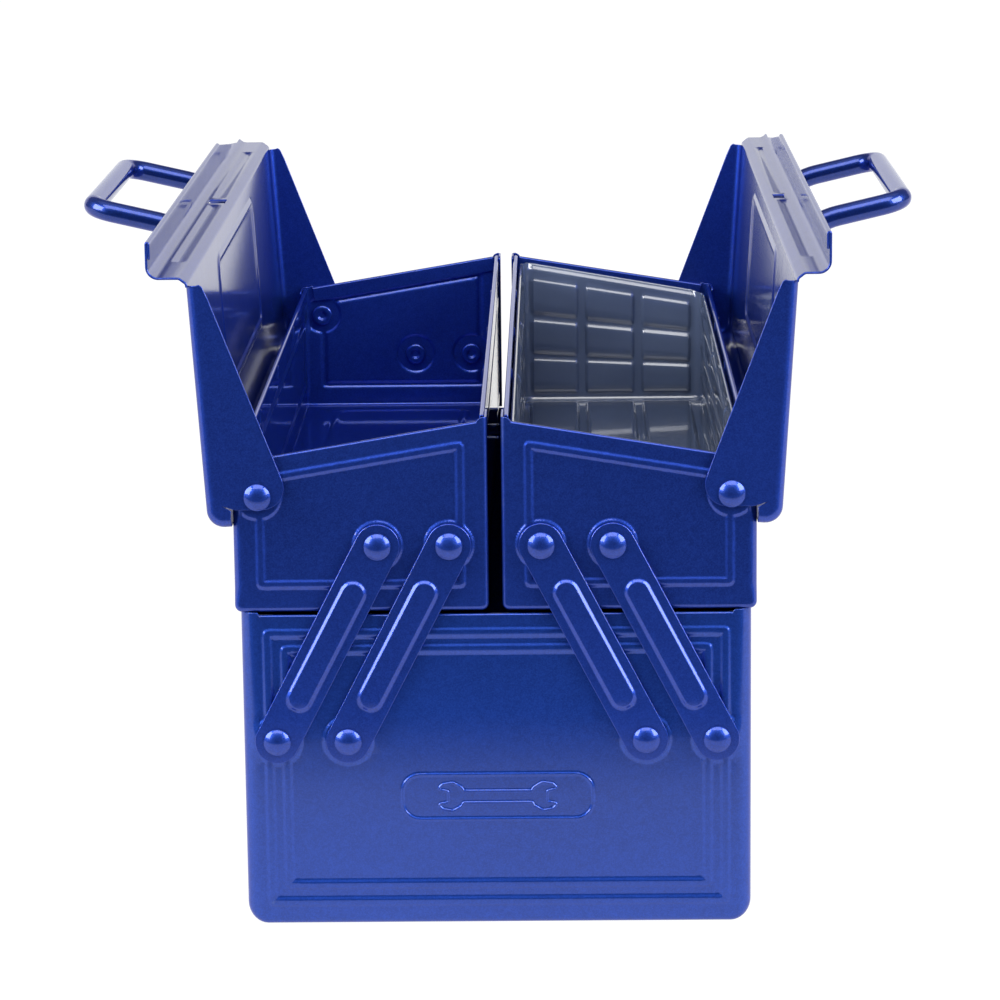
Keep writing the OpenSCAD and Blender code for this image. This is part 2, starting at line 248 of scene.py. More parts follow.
def plate(loops, feats, coarse=4.0, edge_gap=0.35, extra=()):
    """Triangles over a flat region with holes, with vertices laid along each pressed feature."""
    pts, cells = [], {}

    def key(p):
        return (int(math.floor(p[0])), int(math.floor(p[1])))

    def put(p):
        cells.setdefault(key(p), []).append((p[0], p[1]))
        pts.append((p[0], p[1]))

    edges = []
    for loop in loops:
        base = len(pts)
        for p in loop:
            put(p)
        edges += [(base + i, base + (i + 1) % len(loop)) for i in range(len(loop))]

    def add(P, gap):
        ok = inside(P, loops[0])
        for h in loops[1:]:
            ok &= ~inside(P, h)
        reach = int(math.ceil(gap))
        g2 = gap * gap
        for p in P[ok]:
            kx, ky = key(p)
            hit = False
            for ax in range(kx - reach, kx + reach + 1):
                for ay in range(ky - reach, ky + reach + 1):
                    for q in cells.get((ax, ay), ()):
                        if (q[0] - p[0]) ** 2 + (q[1] - p[1]) ** 2 < g2:
                            hit = True
                            break
                    if hit:
                        break
                if hit:
                    break
            if not hit:
                put(p)

    for f in feats:
        add(f.points(), f.gap)
    for P, gap in extra:
        add(np.asarray(P, float), gap)
    lo, hi = loops[0].min(0), loops[0].max(0)
    gx = np.arange(lo[0] + coarse / 2, hi[0], coarse)
    gy = np.arange(lo[1] + coarse / 2, hi[1], coarse)
    X, Y = np.meshgrid(gx, gy)
    X = X + (np.arange(len(gy)) % 2)[:, None] * coarse / 2
    add(np.c_[X.ravel(), Y.ravel()], coarse * 0.55)
    P = np.array(pts)
    ov, _, of, ids, _, _ = delaunay_2d_cdt([Vector(p) for p in pts], edges, [], 0, 1e-6)
    src = np.array([i[0] if i else -1 for i in ids])
    co = np.array([[v.x, v.y] for v in ov])
    co[src >= 0] = P[src[src >= 0]]
    tris = np.array([tuple(f) for f in of])
    mid = co[tris].mean(1)
    ok = inside(mid, loops[0])
    for h in loops[1:]:
        ok &= ~inside(mid, h)
    a, b, c = co[tris[:, 0]], co[tris[:, 1]], co[tris[:, 2]]
    area = np.abs((b[:, 0] - a[:, 0]) * (c[:, 1] - a[:, 1]) - (b[:, 1] - a[:, 1]) * (c[:, 0] - a[:, 0])) / 2
    tris = tris[ok & (area > 1e-7)]
    used = np.unique(tris)
    remap = np.full(len(co), -1)
    remap[used] = np.arange(len(used))
    return co[used], remap[tris]


class Geo:
    """Patches gathered into one surface, in mm."""

    def __init__(self):
        self.v, self.f, self.n = [], [], 0

    def add(self, V, F):
        V = np.asarray(V, float)
        self.v.append(V)
        self.f += [tuple(int(i) + self.n for i in f) for f in F]
        self.n += len(V)

    def grid(self, P, skip=None):
        m, n = P.shape[:2]
        ids = np.arange(m * n).reshape(m, n)
        a, b, c, d = ids[:-1, :-1], ids[1:, :-1], ids[1:, 1:], ids[:-1, 1:]
        q = np.stack([a, b, c, d], -1)
        if skip is not None:
            q = q[~skip]
        self.add(P.reshape(-1, 3), q.reshape(-1, 4))

    def join(self, other, mirror_x=False):
        for V in other.v:
            V = V.copy()
            if mirror_x:
                V[:, 0] *= -1
            self.v.append(V)
        self.f += [tuple(i + self.n for i in f) for f in other.f]
        self.n += other.n

    def welded(self, tol=0.004):
        V = np.vstack(self.v)
        q = np.floor((V + 0.0013719) / tol).astype(np.int64)
        _, first, inv = np.unique(q, axis=0, return_index=True, return_inverse=True)
        inv = inv.ravel()
        F = []
        for f in self.f:
            g = []
            for i in f:
                k = int(inv[i])
                if not g or g[-1] != k:
                    g.append(k)
            if len(g) > 2 and g[0] == g[-1]:
                g.pop()
            if len(g) > 2 and len(set(g)) == len(g):
                F.append(tuple(g))
        return V[first], F


def oriented(V, F, probe):
    """Faces turned the same way, so that the face nearest probe's point looks along probe's direction."""
    bm = bmesh.new()
    vs = [bm.verts.new(v) for v in V]
    for f in F:
        try:
            bm.faces.new([vs[i] for i in f])
        except ValueError:
            pass
    bmesh.ops.recalc_face_normals(bm, faces=bm.faces)
    bm.verts.index_update()
    F = [tuple(v.index for v in f.verts) for f in bm.faces]
    N = np.array([f.normal[:] for f in bm.faces])
    C = np.array([f.calc_center_median()[:] for f in bm.faces])
    bm.free()
    k = int(np.argmin(((C - np.array(probe[0])) ** 2).sum(1)))
    if float(N[k] @ np.array(probe[1])) < 0:
        F = [tuple(reversed(f)) for f in F]
    return F


def split(F):
    q = np.array([f for f in F if len(f) == 4], int).reshape(-1, 4)
    t = np.array([f for f in F if len(f) == 3], int).reshape(-1, 3)
    return q, t


def vertex_normals(V, F):
    q, t = split(F)
    N = np.zeros_like(V)
    if len(q):
        n = np.cross(V[q[:, 2]] - V[q[:, 0]], V[q[:, 3]] - V[q[:, 1]])
        for k in range(4):
            np.add.at(N, q[:, k], n)
    if len(t):
        n = np.cross(V[t[:, 1]] - V[t[:, 0]], V[t[:, 2]] - V[t[:, 0]])
        for k in range(3):
            np.add.at(N, t[:, k], n)
    L = np.linalg.norm(N, axis=1)
    L[L < 1e-12] = 1
    return N / L[:, None]


def thicken(V, F, t, ext=0.2, seg=3):
    """A sheet of thickness t behind the surface, with its raw edges rounded over."""
    N = vertex_normals(V, F)
    e = np.array([(f[i], f[(i + 1) % len(f)]) for f in F for i in range(len(f))])
    key = np.sort(e, 1)
    _, first, count = np.unique(key, axis=0, return_index=True, return_counts=True)
    be = e[first[count == 1]]
    n = len(V)
    out = np.zeros_like(V)
    d = V[be[:, 1]] - V[be[:, 0]]
    d /= np.maximum(np.linalg.norm(d, axis=1), 1e-9)[:, None]
    mid_n = N[be[:, 0]] + N[be[:, 1]]
    o = np.cross(d, mid_n)
    o /= np.maximum(np.linalg.norm(o, axis=1), 1e-9)[:, None]
    np.add.at(out, be[:, 0], o)
    np.add.at(out, be[:, 1], o)
    L = np.linalg.norm(out, axis=1)
    L[L < 1e-9] = 1
    out /= L[:, None]
    allV, allN = [V, V - N * t], [N, -N]
    bv = np.unique(be)
    idx = {int(b): i for i, b in enumerate(bv)}
    rows = [list(range(n))]
    base = 2 * n
    ring = []
    for k in range(1, seg + 1):
        w = math.pi * k / (seg + 1)
        P = V[bv] - N[bv] * t / 2 + N[bv] * math.cos(w) * t / 2 + out[bv] * ext * math.sin(w)
        allV.append(P)
        nn = N[bv] * math.cos(w) + out[bv] * math.sin(w)
        allN.append(nn)
        ring.append(base)
        base += len(bv)
    G = list(F) + [tuple(n + i for i in reversed(f)) for f in F]
    for a, b in be:
        a, b = int(a), int(b)
        ca = [a] + [r + idx[a] for r in ring] + [n + a]
        cb = [b] + [r + idx[b] for r in ring] + [n + b]
        for k in range(len(ca) - 1):
            G.append((cb[k], ca[k], ca[k + 1], cb[k + 1]))
    return np.vstack(allV), G, np.vstack(allN)


def make(name, V, F, N, body, nodes, mat):
    me = bpy.data.meshes.new(name)
    me.from_pydata((np.asarray(V) * 0.001).tolist(), [], [tuple(int(i) for i in f) for f in F])
    me.update()
    for p in me.polygons:
        p.use_smooth = True
    if N is not None:
        L = np.maximum(np.linalg.norm(N, axis=1), 1e-9)[:, None]
        me.normals_split_custom_set_from_vertices((N / L).tolist())
    ob = bpy.data.objects.new(name, me)
    bpy.context.scene.collection.objects.link(ob)
    me.materials.append(mat)
    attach(ob, body)
    if nodes:
        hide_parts(*nodes)
    return ob


def shell(name, geo, probe, body, nodes, mat, t=SHEET, ext=0.2, seg=3):
    V, F = geo.welded()
    F = oriented(V, F, probe)
    used = np.unique(np.concatenate([np.array(f) for f in F]))
    remap = np.full(len(V), -1)
    remap[used] = np.arange(len(used))
    V = V[used]
    F = [tuple(int(remap[i]) for i in f) for f in F]
    W, G, N = thicken(V, F, t, ext, seg)
    return make(name, W, G, N, body, nodes, mat)


def flipped(geo, fx=False, fy=False):
    g = Geo()
    s = np.array([-1 if fx else 1, -1 if fy else 1, 1.0])
    g.v = [V * s for V in geo.v]
    g.f, g.n = list(geo.f), geo.n
    return g


# ---------------------------------------------------------------- materials


def nodes_of(mat):
    mat.use_nodes = True
    nt = mat.node_tree
    nt.nodes.clear()
    out = nt.nodes.new("ShaderNodeOutputMaterial")
    bs = nt.nodes.new("ShaderNodeBsdfPrincipled")
    nt.links.new(bs.outputs[0], out.inputs[0])
    return nt, bs


def noise(nt, scale, detail=2.0, rough=0.5, coord=None):
    n = nt.nodes.new("ShaderNodeTexNoise")
    n.inputs["Scale"].default_value = scale
    n.inputs["Detail"].default_value = detail
    n.inputs["Roughness"].default_value = rough
    nt.links.new(coord, n.inputs["Vector"])
    return n.outputs["Fac"]


def ramp(nt, fac, stops):
    r = nt.nodes.new("ShaderNodeValToRGB")
    els = r.color_ramp.elements
    while len(els) < len(stops):
        els.new(0.5)
    for e, (p, c) in zip(els, stops):
        e.position = p
        e.color = (*c, 1) if len(c) == 3 else (c[0], c[0], c[0], 1)
    nt.links.new(fac, r.inputs["Fac"])
    return r.outputs["Color"]


def mixc(nt, fac, a, b, mode="MIX"):
    m = nt.nodes.new("ShaderNodeMix")
    m.data_type = "RGBA"
    m.blend_type = mode
    for sock, val in ((m.inputs[0], fac), (m.inputs[6], a), (m.inputs[7], b)):
        if hasattr(val, "is_output"):
            nt.links.new(val, sock)
        elif isinstance(val, tuple):
            sock.default_value = (*val, 1)
        else:
            sock.default_value = val
    return m.outputs[2]


def maths(nt, op, a, b=None, c=None, clamp=False):
    m = nt.nodes.new("ShaderNodeMath")
    m.operation = op
    m.use_clamp = clamp
    for i, val in enumerate((a, b, c)):
        if val is None:
            continue
        if hasattr(val, "is_output"):
            nt.links.new(val, m.inputs[i])
        else:
            m.inputs[i].default_value = val
    return m.outputs[0]


def paint(name, base, deep, metallic=0.8, rough=0.40, coat=0.80, wear=1.0, seed=0.0):
    """Metallic enamel: fine flake, slight mottling, faint orange peel, and thin wear on raised edges."""
    mat = bpy.data.materials.new(name)
    nt, bs = nodes_of(mat)
    tc = nt.nodes.new("ShaderNodeTexCoord")
    mp = nt.nodes.new("ShaderNodeMapping")
    mp.inputs["Location"].default_value = (seed, seed * 1.7, -seed)
    nt.links.new(tc.outputs["Object"], mp.inputs["Vector"])
    co = mp.outputs[0]
    cloud = noise(nt, 9.0, 3.0, 0.6, co)
    mottle = noise(nt, 420.0, 2.0, 0.7, co)
    flake = nt.nodes.new("ShaderNodeTexVoronoi")
    flake.inputs["Scale"].default_value = 2600.0
    nt.links.new(co, flake.inputs["Vector"])
    grain = ramp(nt, flake.outputs["Color"], [(0.25, (0.0,)), (0.85, (1.0,))])
    col = mixc(nt, ramp(nt, cloud, [(0.35, (0.0,)), (0.68, (1.0,))]), base, deep)
    col = mixc(nt, maths(nt, "MULTIPLY", ramp(nt, mottle, [(0.4, (0.0,)), (0.75, (1.0,))]), 0.25), col,
               tuple(min(1.0, c * 1.6) for c in base))
    col = mixc(nt, maths(nt, "MULTIPLY", grain, 0.28), col, tuple(min(1.0, c * 2.0) for c in base))
    geom = nt.nodes.new("ShaderNodeNewGeometry")
    edge = ramp(nt, geom.outputs["Pointiness"], [(0.54, (0.0,)), (0.62, (1.0,))])
    worn = maths(nt, "MULTIPLY", edge, ramp(nt, noise(nt, 70.0, 5.0, 0.75, co), [(0.5, (0.0,)), (0.62, (1.0,))]))
    worn = maths(nt, "MULTIPLY", worn, 0.25 * wear)
    col = mixc(nt, worn, col, (0.10, 0.14, 0.26))
    nt.links.new(col, bs.inputs["Base Color"])
    r = maths(nt, "MULTIPLY_ADD", noise(nt, 38.0, 4.0, 0.6, co), 0.08, rough - 0.04)
    r = maths(nt, "ADD", r, maths(nt, "MULTIPLY", worn, 0.2), clamp=True)
    nt.links.new(r, bs.inputs["Roughness"])
    bs.inputs["Metallic"].default_value = metallic
    bs.inputs["Coat Weight"].default_value = coat
    bs.inputs["Coat Roughness"].default_value = 0.04
    bs.inputs["Coat IOR"].default_value = 1.5
    bs.inputs["Specular IOR Level"].default_value = 0.3
    bs.inputs["Specular Tint"].default_value = (0.22, 0.32, 0.80, 1)
    bump = nt.nodes.new("ShaderNodeBump")
    bump.inputs["Strength"].default_value = 0.06
    bump.inputs["Distance"].default_value = 0.0002
    peel = maths(nt, "ADD", noise(nt, 260.0, 2.0, 0.5, co), maths(nt, "MULTIPLY", noise(nt, 1500.0, 1.0, 0.5, co), 0.35))
    nt.links.new(peel, bump.inputs["Height"])
    nt.links.new(bump.outputs[0], bs.inputs["Normal"])
    nt.links.new(bump.outputs[0], bs.inputs["Coat Normal"])
    return mat


def clear_plastic(name):
    """Thin smoky thermoformed sheet."""
    mat = bpy.data.materials.new(name)
    nt, bs = nodes_of(mat)
    tc = nt.nodes.new("ShaderNodeTexCoord")
    co = tc.outputs["Object"]
    haze = noise(nt, 30.0, 4.0, 0.6, co)
    nt.links.new(mixc(nt, ramp(nt, haze, [(0.35, (0.0,)), (0.7, (1.0,))]), (0.082, 0.112, 0.196), (0.102, 0.136, 0.230)),
                 bs.inputs["Base Color"])
    nt.links.new(maths(nt, "MULTIPLY_ADD", noise(nt, 90.0, 3.0, 0.6, co), 0.08, 0.14), bs.inputs["Roughness"])
    bs.inputs["Alpha"].default_value = 0.90
    bs.inputs["IOR"].default_value = 1.55
    bs.inputs["Specular IOR Level"].default_value = 0.9
    bs.inputs["Coat Weight"].default_value = 1.0
    bs.inputs["Coat Roughness"].default_value = 0.05
    bs.inputs["Coat IOR"].default_value = 1.55
    bump = nt.nodes.new("ShaderNodeBump")
    bump.inputs["Strength"].default_value = 0.02
    bump.inputs["Distance"].default_value = 0.0003
    nt.links.new(noise(nt, 120.0, 3.0, 0.6, co), bump.inputs["Height"])
    nt.links.new(bump.outputs[0], bs.inputs["Normal"])
    return mat


M_CASE = paint("case_paint", (0.0130, 0.0485, 0.308), (0.0110, 0.0412, 0.265), seed=0.0)
M_TRAY = paint("tray_paint", (0.0146, 0.0455, 0.308), (0.0122, 0.0382, 0.264), seed=1.3)
# lid paint: the case's blue enamel made slightly lighter, as painted light that brightens the shaded cheeks of the
# roof halves
M_LID_LIGHTENED = paint("lid_paint", (0.0152, 0.0475, 0.330), (0.0128, 0.0400, 0.283), seed=2.1)
M_ARM = paint("arm_paint", (0.0150, 0.0460, 0.314), (0.0126, 0.0388, 0.270), seed=3.7)
M_RIVET = paint("rivet_paint", (0.0147, 0.0452, 0.300), (0.0122, 0.0380, 0.258), wear=0.6, seed=5.2)
# handle paint: the case's blue enamel made about a third darker, as painted shade that tones down the handles'
# bright softbox reflections
M_HANDLE_SHADED = paint("handle_paint", (0.0108, 0.0325, 0.210), (0.0090, 0.0275, 0.180), rough=0.32, wear=0.6, seed=6.1)
lid_bs = M_LID_LIGHTENED.node_tree.nodes["Principled BSDF"]
lid_bs.inputs["Coat Roughness"].default_value = 0.10
lid_bs.inputs["Specular Tint"].default_value = (0.20, 0.26, 0.36, 1)
M_LINER = clear_plastic("liner_plastic")

# ---------------------------------------------------------------- end panels


def pan(x0, x1, z0, za, zb, r, feats, Rl, Rr, Rb=2.6, ears=(6.0, 6.0), ear=0.6, hem=4.6):
    """Pressed end panel at the -Y end: face, rolled edges, side flanges, hemmed top."""
    g = Geo()
    slope = (zb - za) / (x1 - x0)
    ex = np.array([x1 - x0, zb - za])
    ex /= np.linalg.norm(ex)
    mz = np.array([-ex[1], ex[0]])

    def top(x):
        return za + slope * (x - x0)

    def face_top(x):
        return top(x) - ear - HEM_R / mz[1]

    def h(p):
        out = np.zeros(len(p))
        for f in feats:
            out = np.maximum(out, f.height(p))
        return out

    def side_bend(z, R):
        small = min(R, r - 0.15)
        return small + (R - small) * float(smooth01((z - z0 - r) / 6.0))

    P, N, R, tag = [], [], [], []
    for z in axis(z0 + r, za, [(z0 + r, z0 + r + 6, 0.7), (za - 2, za, 0.5)], 2.0)[::-1]:
        P.append((x0, z)); N.append((-1, 0)); R.append(side_bend(z, Rl)); tag.append(0)
    k = 9
    cl, cr = min(Rl, r - 0.15), min(Rr, r - 0.15)
    for i in range(1, k + 1):
        w = math.radians(180 + 90 * i / k)
        P.append((x0 + r + r * math.cos(w), z0 + r + r * math.sin(w)))
        N.append((math.cos(w), math.sin(w)))
        R.append(cl + (Rb - cl) * float(smooth01(i / k))); tag.append(1)
    for x in axis(x0 + r, x1 - r, [], 3.0)[1:-1]:
        P.append((x, z0)); N.append((0, -1)); R.append(Rb); tag.append(1)
    for i in range(k + 1):
        w = math.radians(270 + 90 * i / k)
        P.append((x1 - r + r * math.cos(w), z0 + r + r * math.sin(w)))
        N.append((math.cos(w), math.sin(w)))
        R.append(Rb + (cr - Rb) * float(smooth01(i / k))); tag.append(1 if i < k else 0)
    for z in axis(z0 + r, zb, [(z0 + r, z0 + r + 6, 0.7), (zb - 2, zb, 0.5)], 2.0)[1:]:
        P.append((x1, z)); N.append((1, 0)); R.append(side_bend(z, Rr)); tag.append(0)
    P, N, R, tag = np.array(P, float), np.array(N, float), np.array(R), np.array(tag)
    Q = P - N * R[:, None]
    rows = []
    for a in np.radians(np.linspace(0, 90, 8)):
        xz = Q + N * (R * math.sin(a))[:, None]
        y = -HALF + R * (1 - math.cos(a)) - h(xz) * math.cos(a) ** 1.5
        rows.append(np.c_[xz[:, 0], y, xz[:, 1]])
    side_end = -HALF + 14.0
    for s in (0.5, 1.0):
        y0 = -HALF + R
        end = np.where(tag == 0, side_end, np.maximum(-HALF + 5.9, y0 + 0.05))
        rows.append(np.c_[P[:, 0], y0 + (end - y0) * s, P[:, 1]])
    G = np.array(rows)
    skip = np.zeros((G.shape[0] - 1, G.shape[1] - 1), bool)
    # the side flanges stop where the bottom corner starts
    edge = (tag[:-1] != tag[1:])
    skip[-2:, edge] = True
    g.grid(G, skip)
    # face
    xl, xr = x0 + ears[0], x1 - ears[1]
    xs = axis(xl, xr, [], 2.0)
    loop = list(Q)
    loop += [(xr + 0.7, top(xr + 0.7) - 0.08), (xr + 0.25, top(xr + 0.25) - 0.5)]
    loop += [(x, face_top(x)) for x in xs[::-1]]
    loop += [(xl - 0.25, top(xl - 0.25) - 0.5), (xl - 0.7, top(xl - 0.7) - 0.08)]
    loop = np.array(loop)
    keep = [0]
    for i in range(1, len(loop)):
        if np.linalg.norm(loop[i] - loop[keep[-1]]) > 1e-4:
            keep.append(i)
    loop = loop[keep]
    co, tris = plate([loop], feats)
    g.add(np.c_[co[:, 0], -HALF - h(co), co[:, 1]], tris)
    # hem
    base = np.c_[xs, [face_top(x) for x in xs]]
    rows = []
    for w in np.radians(np.linspace(0, 180, 8)):
        xz = base + mz * HEM_R * math.sin(w)
        rows.append(np.c_[xz[:, 0], np.full(len(xs), -HALF + HEM_R * (1 - math.cos(w))), xz[:, 1]])
    for l in (1.5, 3.0, hem):
        xz = base - mz * l
        rows.append(np.c_[xz[:, 0], np.full(len(xs), -HALF + 2 * HEM_R), xz[:, 1]])
    g.grid(np.array(rows))
    return g


def wrench_line(cx, cz):
    """Outline of a plain open-ended wrench."""
    half = 15.0
    body = []
    rj = 4.7
    # upper side, left to right
    body.append((cx - half + 4.2, cz + 1.9))
    body.append((cx + half - 4.2, cz + 1.9))
    body += [(cx + half + rj * math.cos(math.radians(w)), cz + rj * math.sin(math.radians(w))) for w in (140, 100, 60, 32)]
    body += [(cx + half + 0.6, cz + 1.75), (cx + half + 0.6, cz - 1.75)]
    body += [(cx + half + rj * math.cos(math.radians(w)), cz + rj * math.sin(math.radians(w))) for w in (-32, -60, -100, -140)]
    body.append((cx + half - 4.2, cz - 1.9))
    body.append((cx - half + 4.2, cz - 1.9))
    body += [(cx - half - rj * math.cos(math.radians(w)), cz + rj * math.sin(math.radians(w))) for w in (-140, -100, -60, -32)]
    body += [(cx - half - 0.6, cz - 1.75), (cx - half - 0.6, cz + 1.75)]
    body += [(cx - half - rj * math.cos(math.radians(w)), cz + rj * math.sin(math.radians(w))) for w in (32, 60, 100, 140)]
    return round_line(body, 0.5, step=0.8, n=3)


def frame_line(x0, x1, z0, za, zb, r=2.2):
    return round_line([(x0, za), (x0, z0), (x1, z0), (x1, zb)], r, step=1.6, n=6)


w2 = BOX_W / 2
PIVOTS = [(s * (PIVOT_X - d), PIVOT_Z) for s in (-1, 1) for d in (0, PIVOT_GAP)]
lower_feats = [Boss(p, 7.3, 8.5, 0.58) for p in PIVOTS]
frames = [
    Bead(frame_line(-w2 + 8.3, w2 - 8.3, 7.6, BOX_H - 6.5, BOX_H - 6.5, 0.5), 1.9, 0.6, flat=0.6),
    Bead(frame_line(-w2 + 13.8, w2 - 13.8, 13.3, BOX_H - 11.75, BOX_H - 11.75, 0.5), 1.9, 0.6, flat=0.6),
]
emblem = [
    Bead(round_line([(-30, 34.6), (30, 34.6), (30, 49.2), (-30, 49.2)], 5.5, step=1.2, n=10), 0.75, 0.42, gap=0.14),
    Bead(wrench_line(0.0, 41.9), 0.55, 0.36, gap=0.12, outer=0.25),
]
g_front = pan(-w2, w2, 0, BOX_H, BOX_H, 6.5, lower_feats + emblem + frames, 5.2, 5.2)
shell("box_front_panel", g_front, ((0, -HALF, 60), (0, -1, 0)), "case", ["lower_front_panel"], M_CASE)
g_rear = pan(-w2, w2, 0, BOX_H, BOX_H, 6.5, lower_feats + frames, 5.2, 5.2)
shell("box_rear_panel", flipped(g_rear, fy=True), ((0, HALF, 60), (0, 1, 0)), "case", ["lower_rear_panel"],
      M_CASE)

T_PIVOTS = [(TP_X, TP_Z), (TP_X - PIVOT_GAP, TP_Z)]
tray_feats = [Boss(p, 7.2, 8.2, 0.58) for p in T_PIVOTS] + [Boss((HX, HZ), 6.9, 7.9, 0.58)]
tray_feats.append(Bead(frame_line(TRAY_IN + 8.5, TRAY_OUT - 8.5, TRAY_Z + 9.0, TRAY_TOP - 8.6, TRAY_LOW - 6.0, 0.4),
                       1.75, 0.58, flat=0.5))
g_tray = pan(TRAY_IN, TRAY_OUT, TRAY_Z, TRAY_TOP, TRAY_LOW, 2.2, tray_feats, 1.5, 3.0, Rb=1.7, ears=(3.2, 4.6))
for side, fx in (("right", False), ("left", True)):
    sx = -1 if fx else 1
    for end, fy in (("front", False), ("rear", True)):
        shell(f"{side}_tray_{end}", flipped(g_tray, fx, fy), ((sx * 40, (1 if fy else -1) * HALF, 142), (0, 1 if fy else -1, 0)),
              f"{side}_tray", [f"{side}_tray_{end}_panel"], M_TRAY)

# ---------------------------------------------------------------- folded troughs


def trough(x0, x1, z0, za, zb, r, frame_z, floor_frame, nicks, hem=5.0, end=169.0):
    """Bottom and long walls in one sheet, with rolled hems, shallow beads and divider nicks."""
    rh = HEM_R
    rows = []  # x, z, outward normal, tag

    def add(pts, nrm, tag):
        for p, n in zip(pts, nrm):
            rows.append((p[0], p[1], n[0], n[1], tag))

    leaf = list(np.linspace(hem - rh, 0.3, 13))
    for l in leaf:
        add([(x0 + 2 * rh, za - rh - max(l, 0.0))], [(1, 0)], "HL")
    ang = np.linspace(0, 180, 9)
    for a in np.radians(ang):
        add([(x0 + rh + rh * math.cos(a), za - rh + rh * math.sin(a))], [(math.cos(a), math.sin(a))], "T")
    zs = axis(z0 + r, za - rh - 0.6, [(frame_z[0] - 2.6, frame_z[0] + 8.0, 0.65), (za - frame_z[1] - 8.0, za - frame_z[1] + 2.6, 0.65)], 6.0)
    for z in zs[::-1]:
        add([(x0, z)], [(-1, 0)], "L")
    for a in np.radians(np.linspace(180, 270, 8))[1:-1]:
        add([(x0 + r + r * math.cos(a), z0 + r + r * math.sin(a))], [(math.cos(a), math.sin(a))], "C")
    fx0, fx1 = floor_frame
    for x in axis(x0 + r, x1 - r, [(fx0 - 2.6, fx0 + 8, 0.7), (fx1 - 8, fx1 + 2.6, 0.7)], 6.0):
        add([(x, z0)], [(0, -1)], "B")
    for a in np.radians(np.linspace(270, 360, 8))[1:-1]:
        add([(x1 - r + r * math.cos(a), z0 + r + r * math.sin(a))], [(math.cos(a), math.sin(a))], "C")
    zs = axis(z0 + r, zb - rh - 0.6, [(frame_z[0] - 2.6, frame_z[0] + 8.0, 0.65), (zb - frame_z[1] - 8.0, zb - frame_z[1] + 2.6, 0.65)], 6.0)
    for z in zs:
        add([(x1, z)], [(1, 0)], "R")
    for a in np.radians(ang[::1]):
        add([(x1 - rh + rh * math.cos(a), zb - rh + rh * math.sin(a))], [(math.cos(a), math.sin(a))], "T")
    for l in leaf[::-1]:
        add([(x1 - 2 * rh, zb - rh - max(l, 0.0))], [(-1, 0)], "HR")
    fe = 161.5
    zones = [(-fe - 2.6, -fe + 8.0, 0.8), (fe - 8.0, fe + 2.6, 0.8)] + [(y - 3.6, y + 3.6, 0.3) for y in nicks]
    ys = axis(-end, end, zones, 7.0)
    m, n = len(rows), len(ys)
    X = np.array([q[0] for q in rows])
    Z = np.array([q[1] for q in rows])
    NX = np.array([q[2] for q in rows])
    NZ = np.array([q[3] for q in rows])
    tags = np.array([q[4] for q in rows])
    D = np.zeros((m, n))
    for tag, top in (("L", za), ("R", zb)):
        sel = np.where(tags == tag)[0]
        bead = Bead(round_line([(-fe, frame_z[0]), (fe, frame_z[0]), (fe, top - frame_z[1]), (-fe, top - frame_z[1])], 5.0, step=3.0, n=7),
                    1.9, 0.5, flat=0.3)
        YY, ZZ = np.meshgrid(ys, Z[sel])
        D[sel] = -bead.height(np.c_[YY.ravel(), ZZ.ravel()]).reshape(len(sel), n)
    sel = np.where(tags == "B")[0]
    bead = Bead(round_line([(-fe, fx0), (fe, fx0), (fe, fx1), (-fe, fx1)], 5.0, step=3.0, n=7), 1.9, 0.5, flat=0.3)
    YY, XX = np.meshgrid(ys, X[sel])
    D[sel] = -bead.height(np.c_[YY.ravel(), XX.ravel()]).reshape(len(sel), n)
    for tag, top in (("HL", za), ("HR", zb)):
        sel = np.where(tags == tag)[0]
        YY, ZZ = np.meshgrid(ys, Z[sel])
        P = np.c_[YY.ravel(), ZZ.ravel()]
        tot = np.zeros(len(P))
        for y in nicks:
            s = 1.6
            nick = Bead(np.array([(y - s, top - hem - 0.5), (y, top - 2.9), (y + s, top - 0.9)]), 0.8, 0.42, closed=False)
            tot = np.maximum(tot, nick.height(P))
        D[sel] = tot.reshape(len(sel), n)
    G = np.zeros((m, n, 3))
    G[:, :, 0] = X[:, None] + NX[:, None] * D
    G[:, :, 1] = ys[None, :]
    G[:, :, 2] = Z[:, None] + NZ[:, None] * D
    g = Geo()
    g.grid(G)
    return g


lt0, lt1 = node_box("lower_trough")
g_low = trough(lt0[0], lt1[0], 0.0, BOX_H, BOX_H, 5.7, (14.0, 15.0), (-58.0, 58.0), [])
shell("box_body", g_low, ((0, 0, 0), (0, 0, -1)), "case", ["lower_trough"], M_CASE, t=0.78)
tt0, tt1 = node_box("right_tray_trough")
g_tt = trough(tt0[0], tt1[0], TRAY_Z, TRAY_TOP, TRAY_LOW, 1.4, (TRAY_Z + 10.0, 13.0), (tt0[0] + 14, tt1[0] - 14),
              [-84.0, 0.0, 84.0])
for side, fx in (("right", False), ("left", True)):
    sx = -1 if fx else 1
    shell(f"{side}_tray_body", flipped(g_tt, fx), ((sx * 42, 0, TRAY_Z), (0, 0, -1)), f"{side}_tray",
          [f"{side}_tray_trough"], M_TRAY, t=0.78)

# ---------------------------------------------------------------- arms


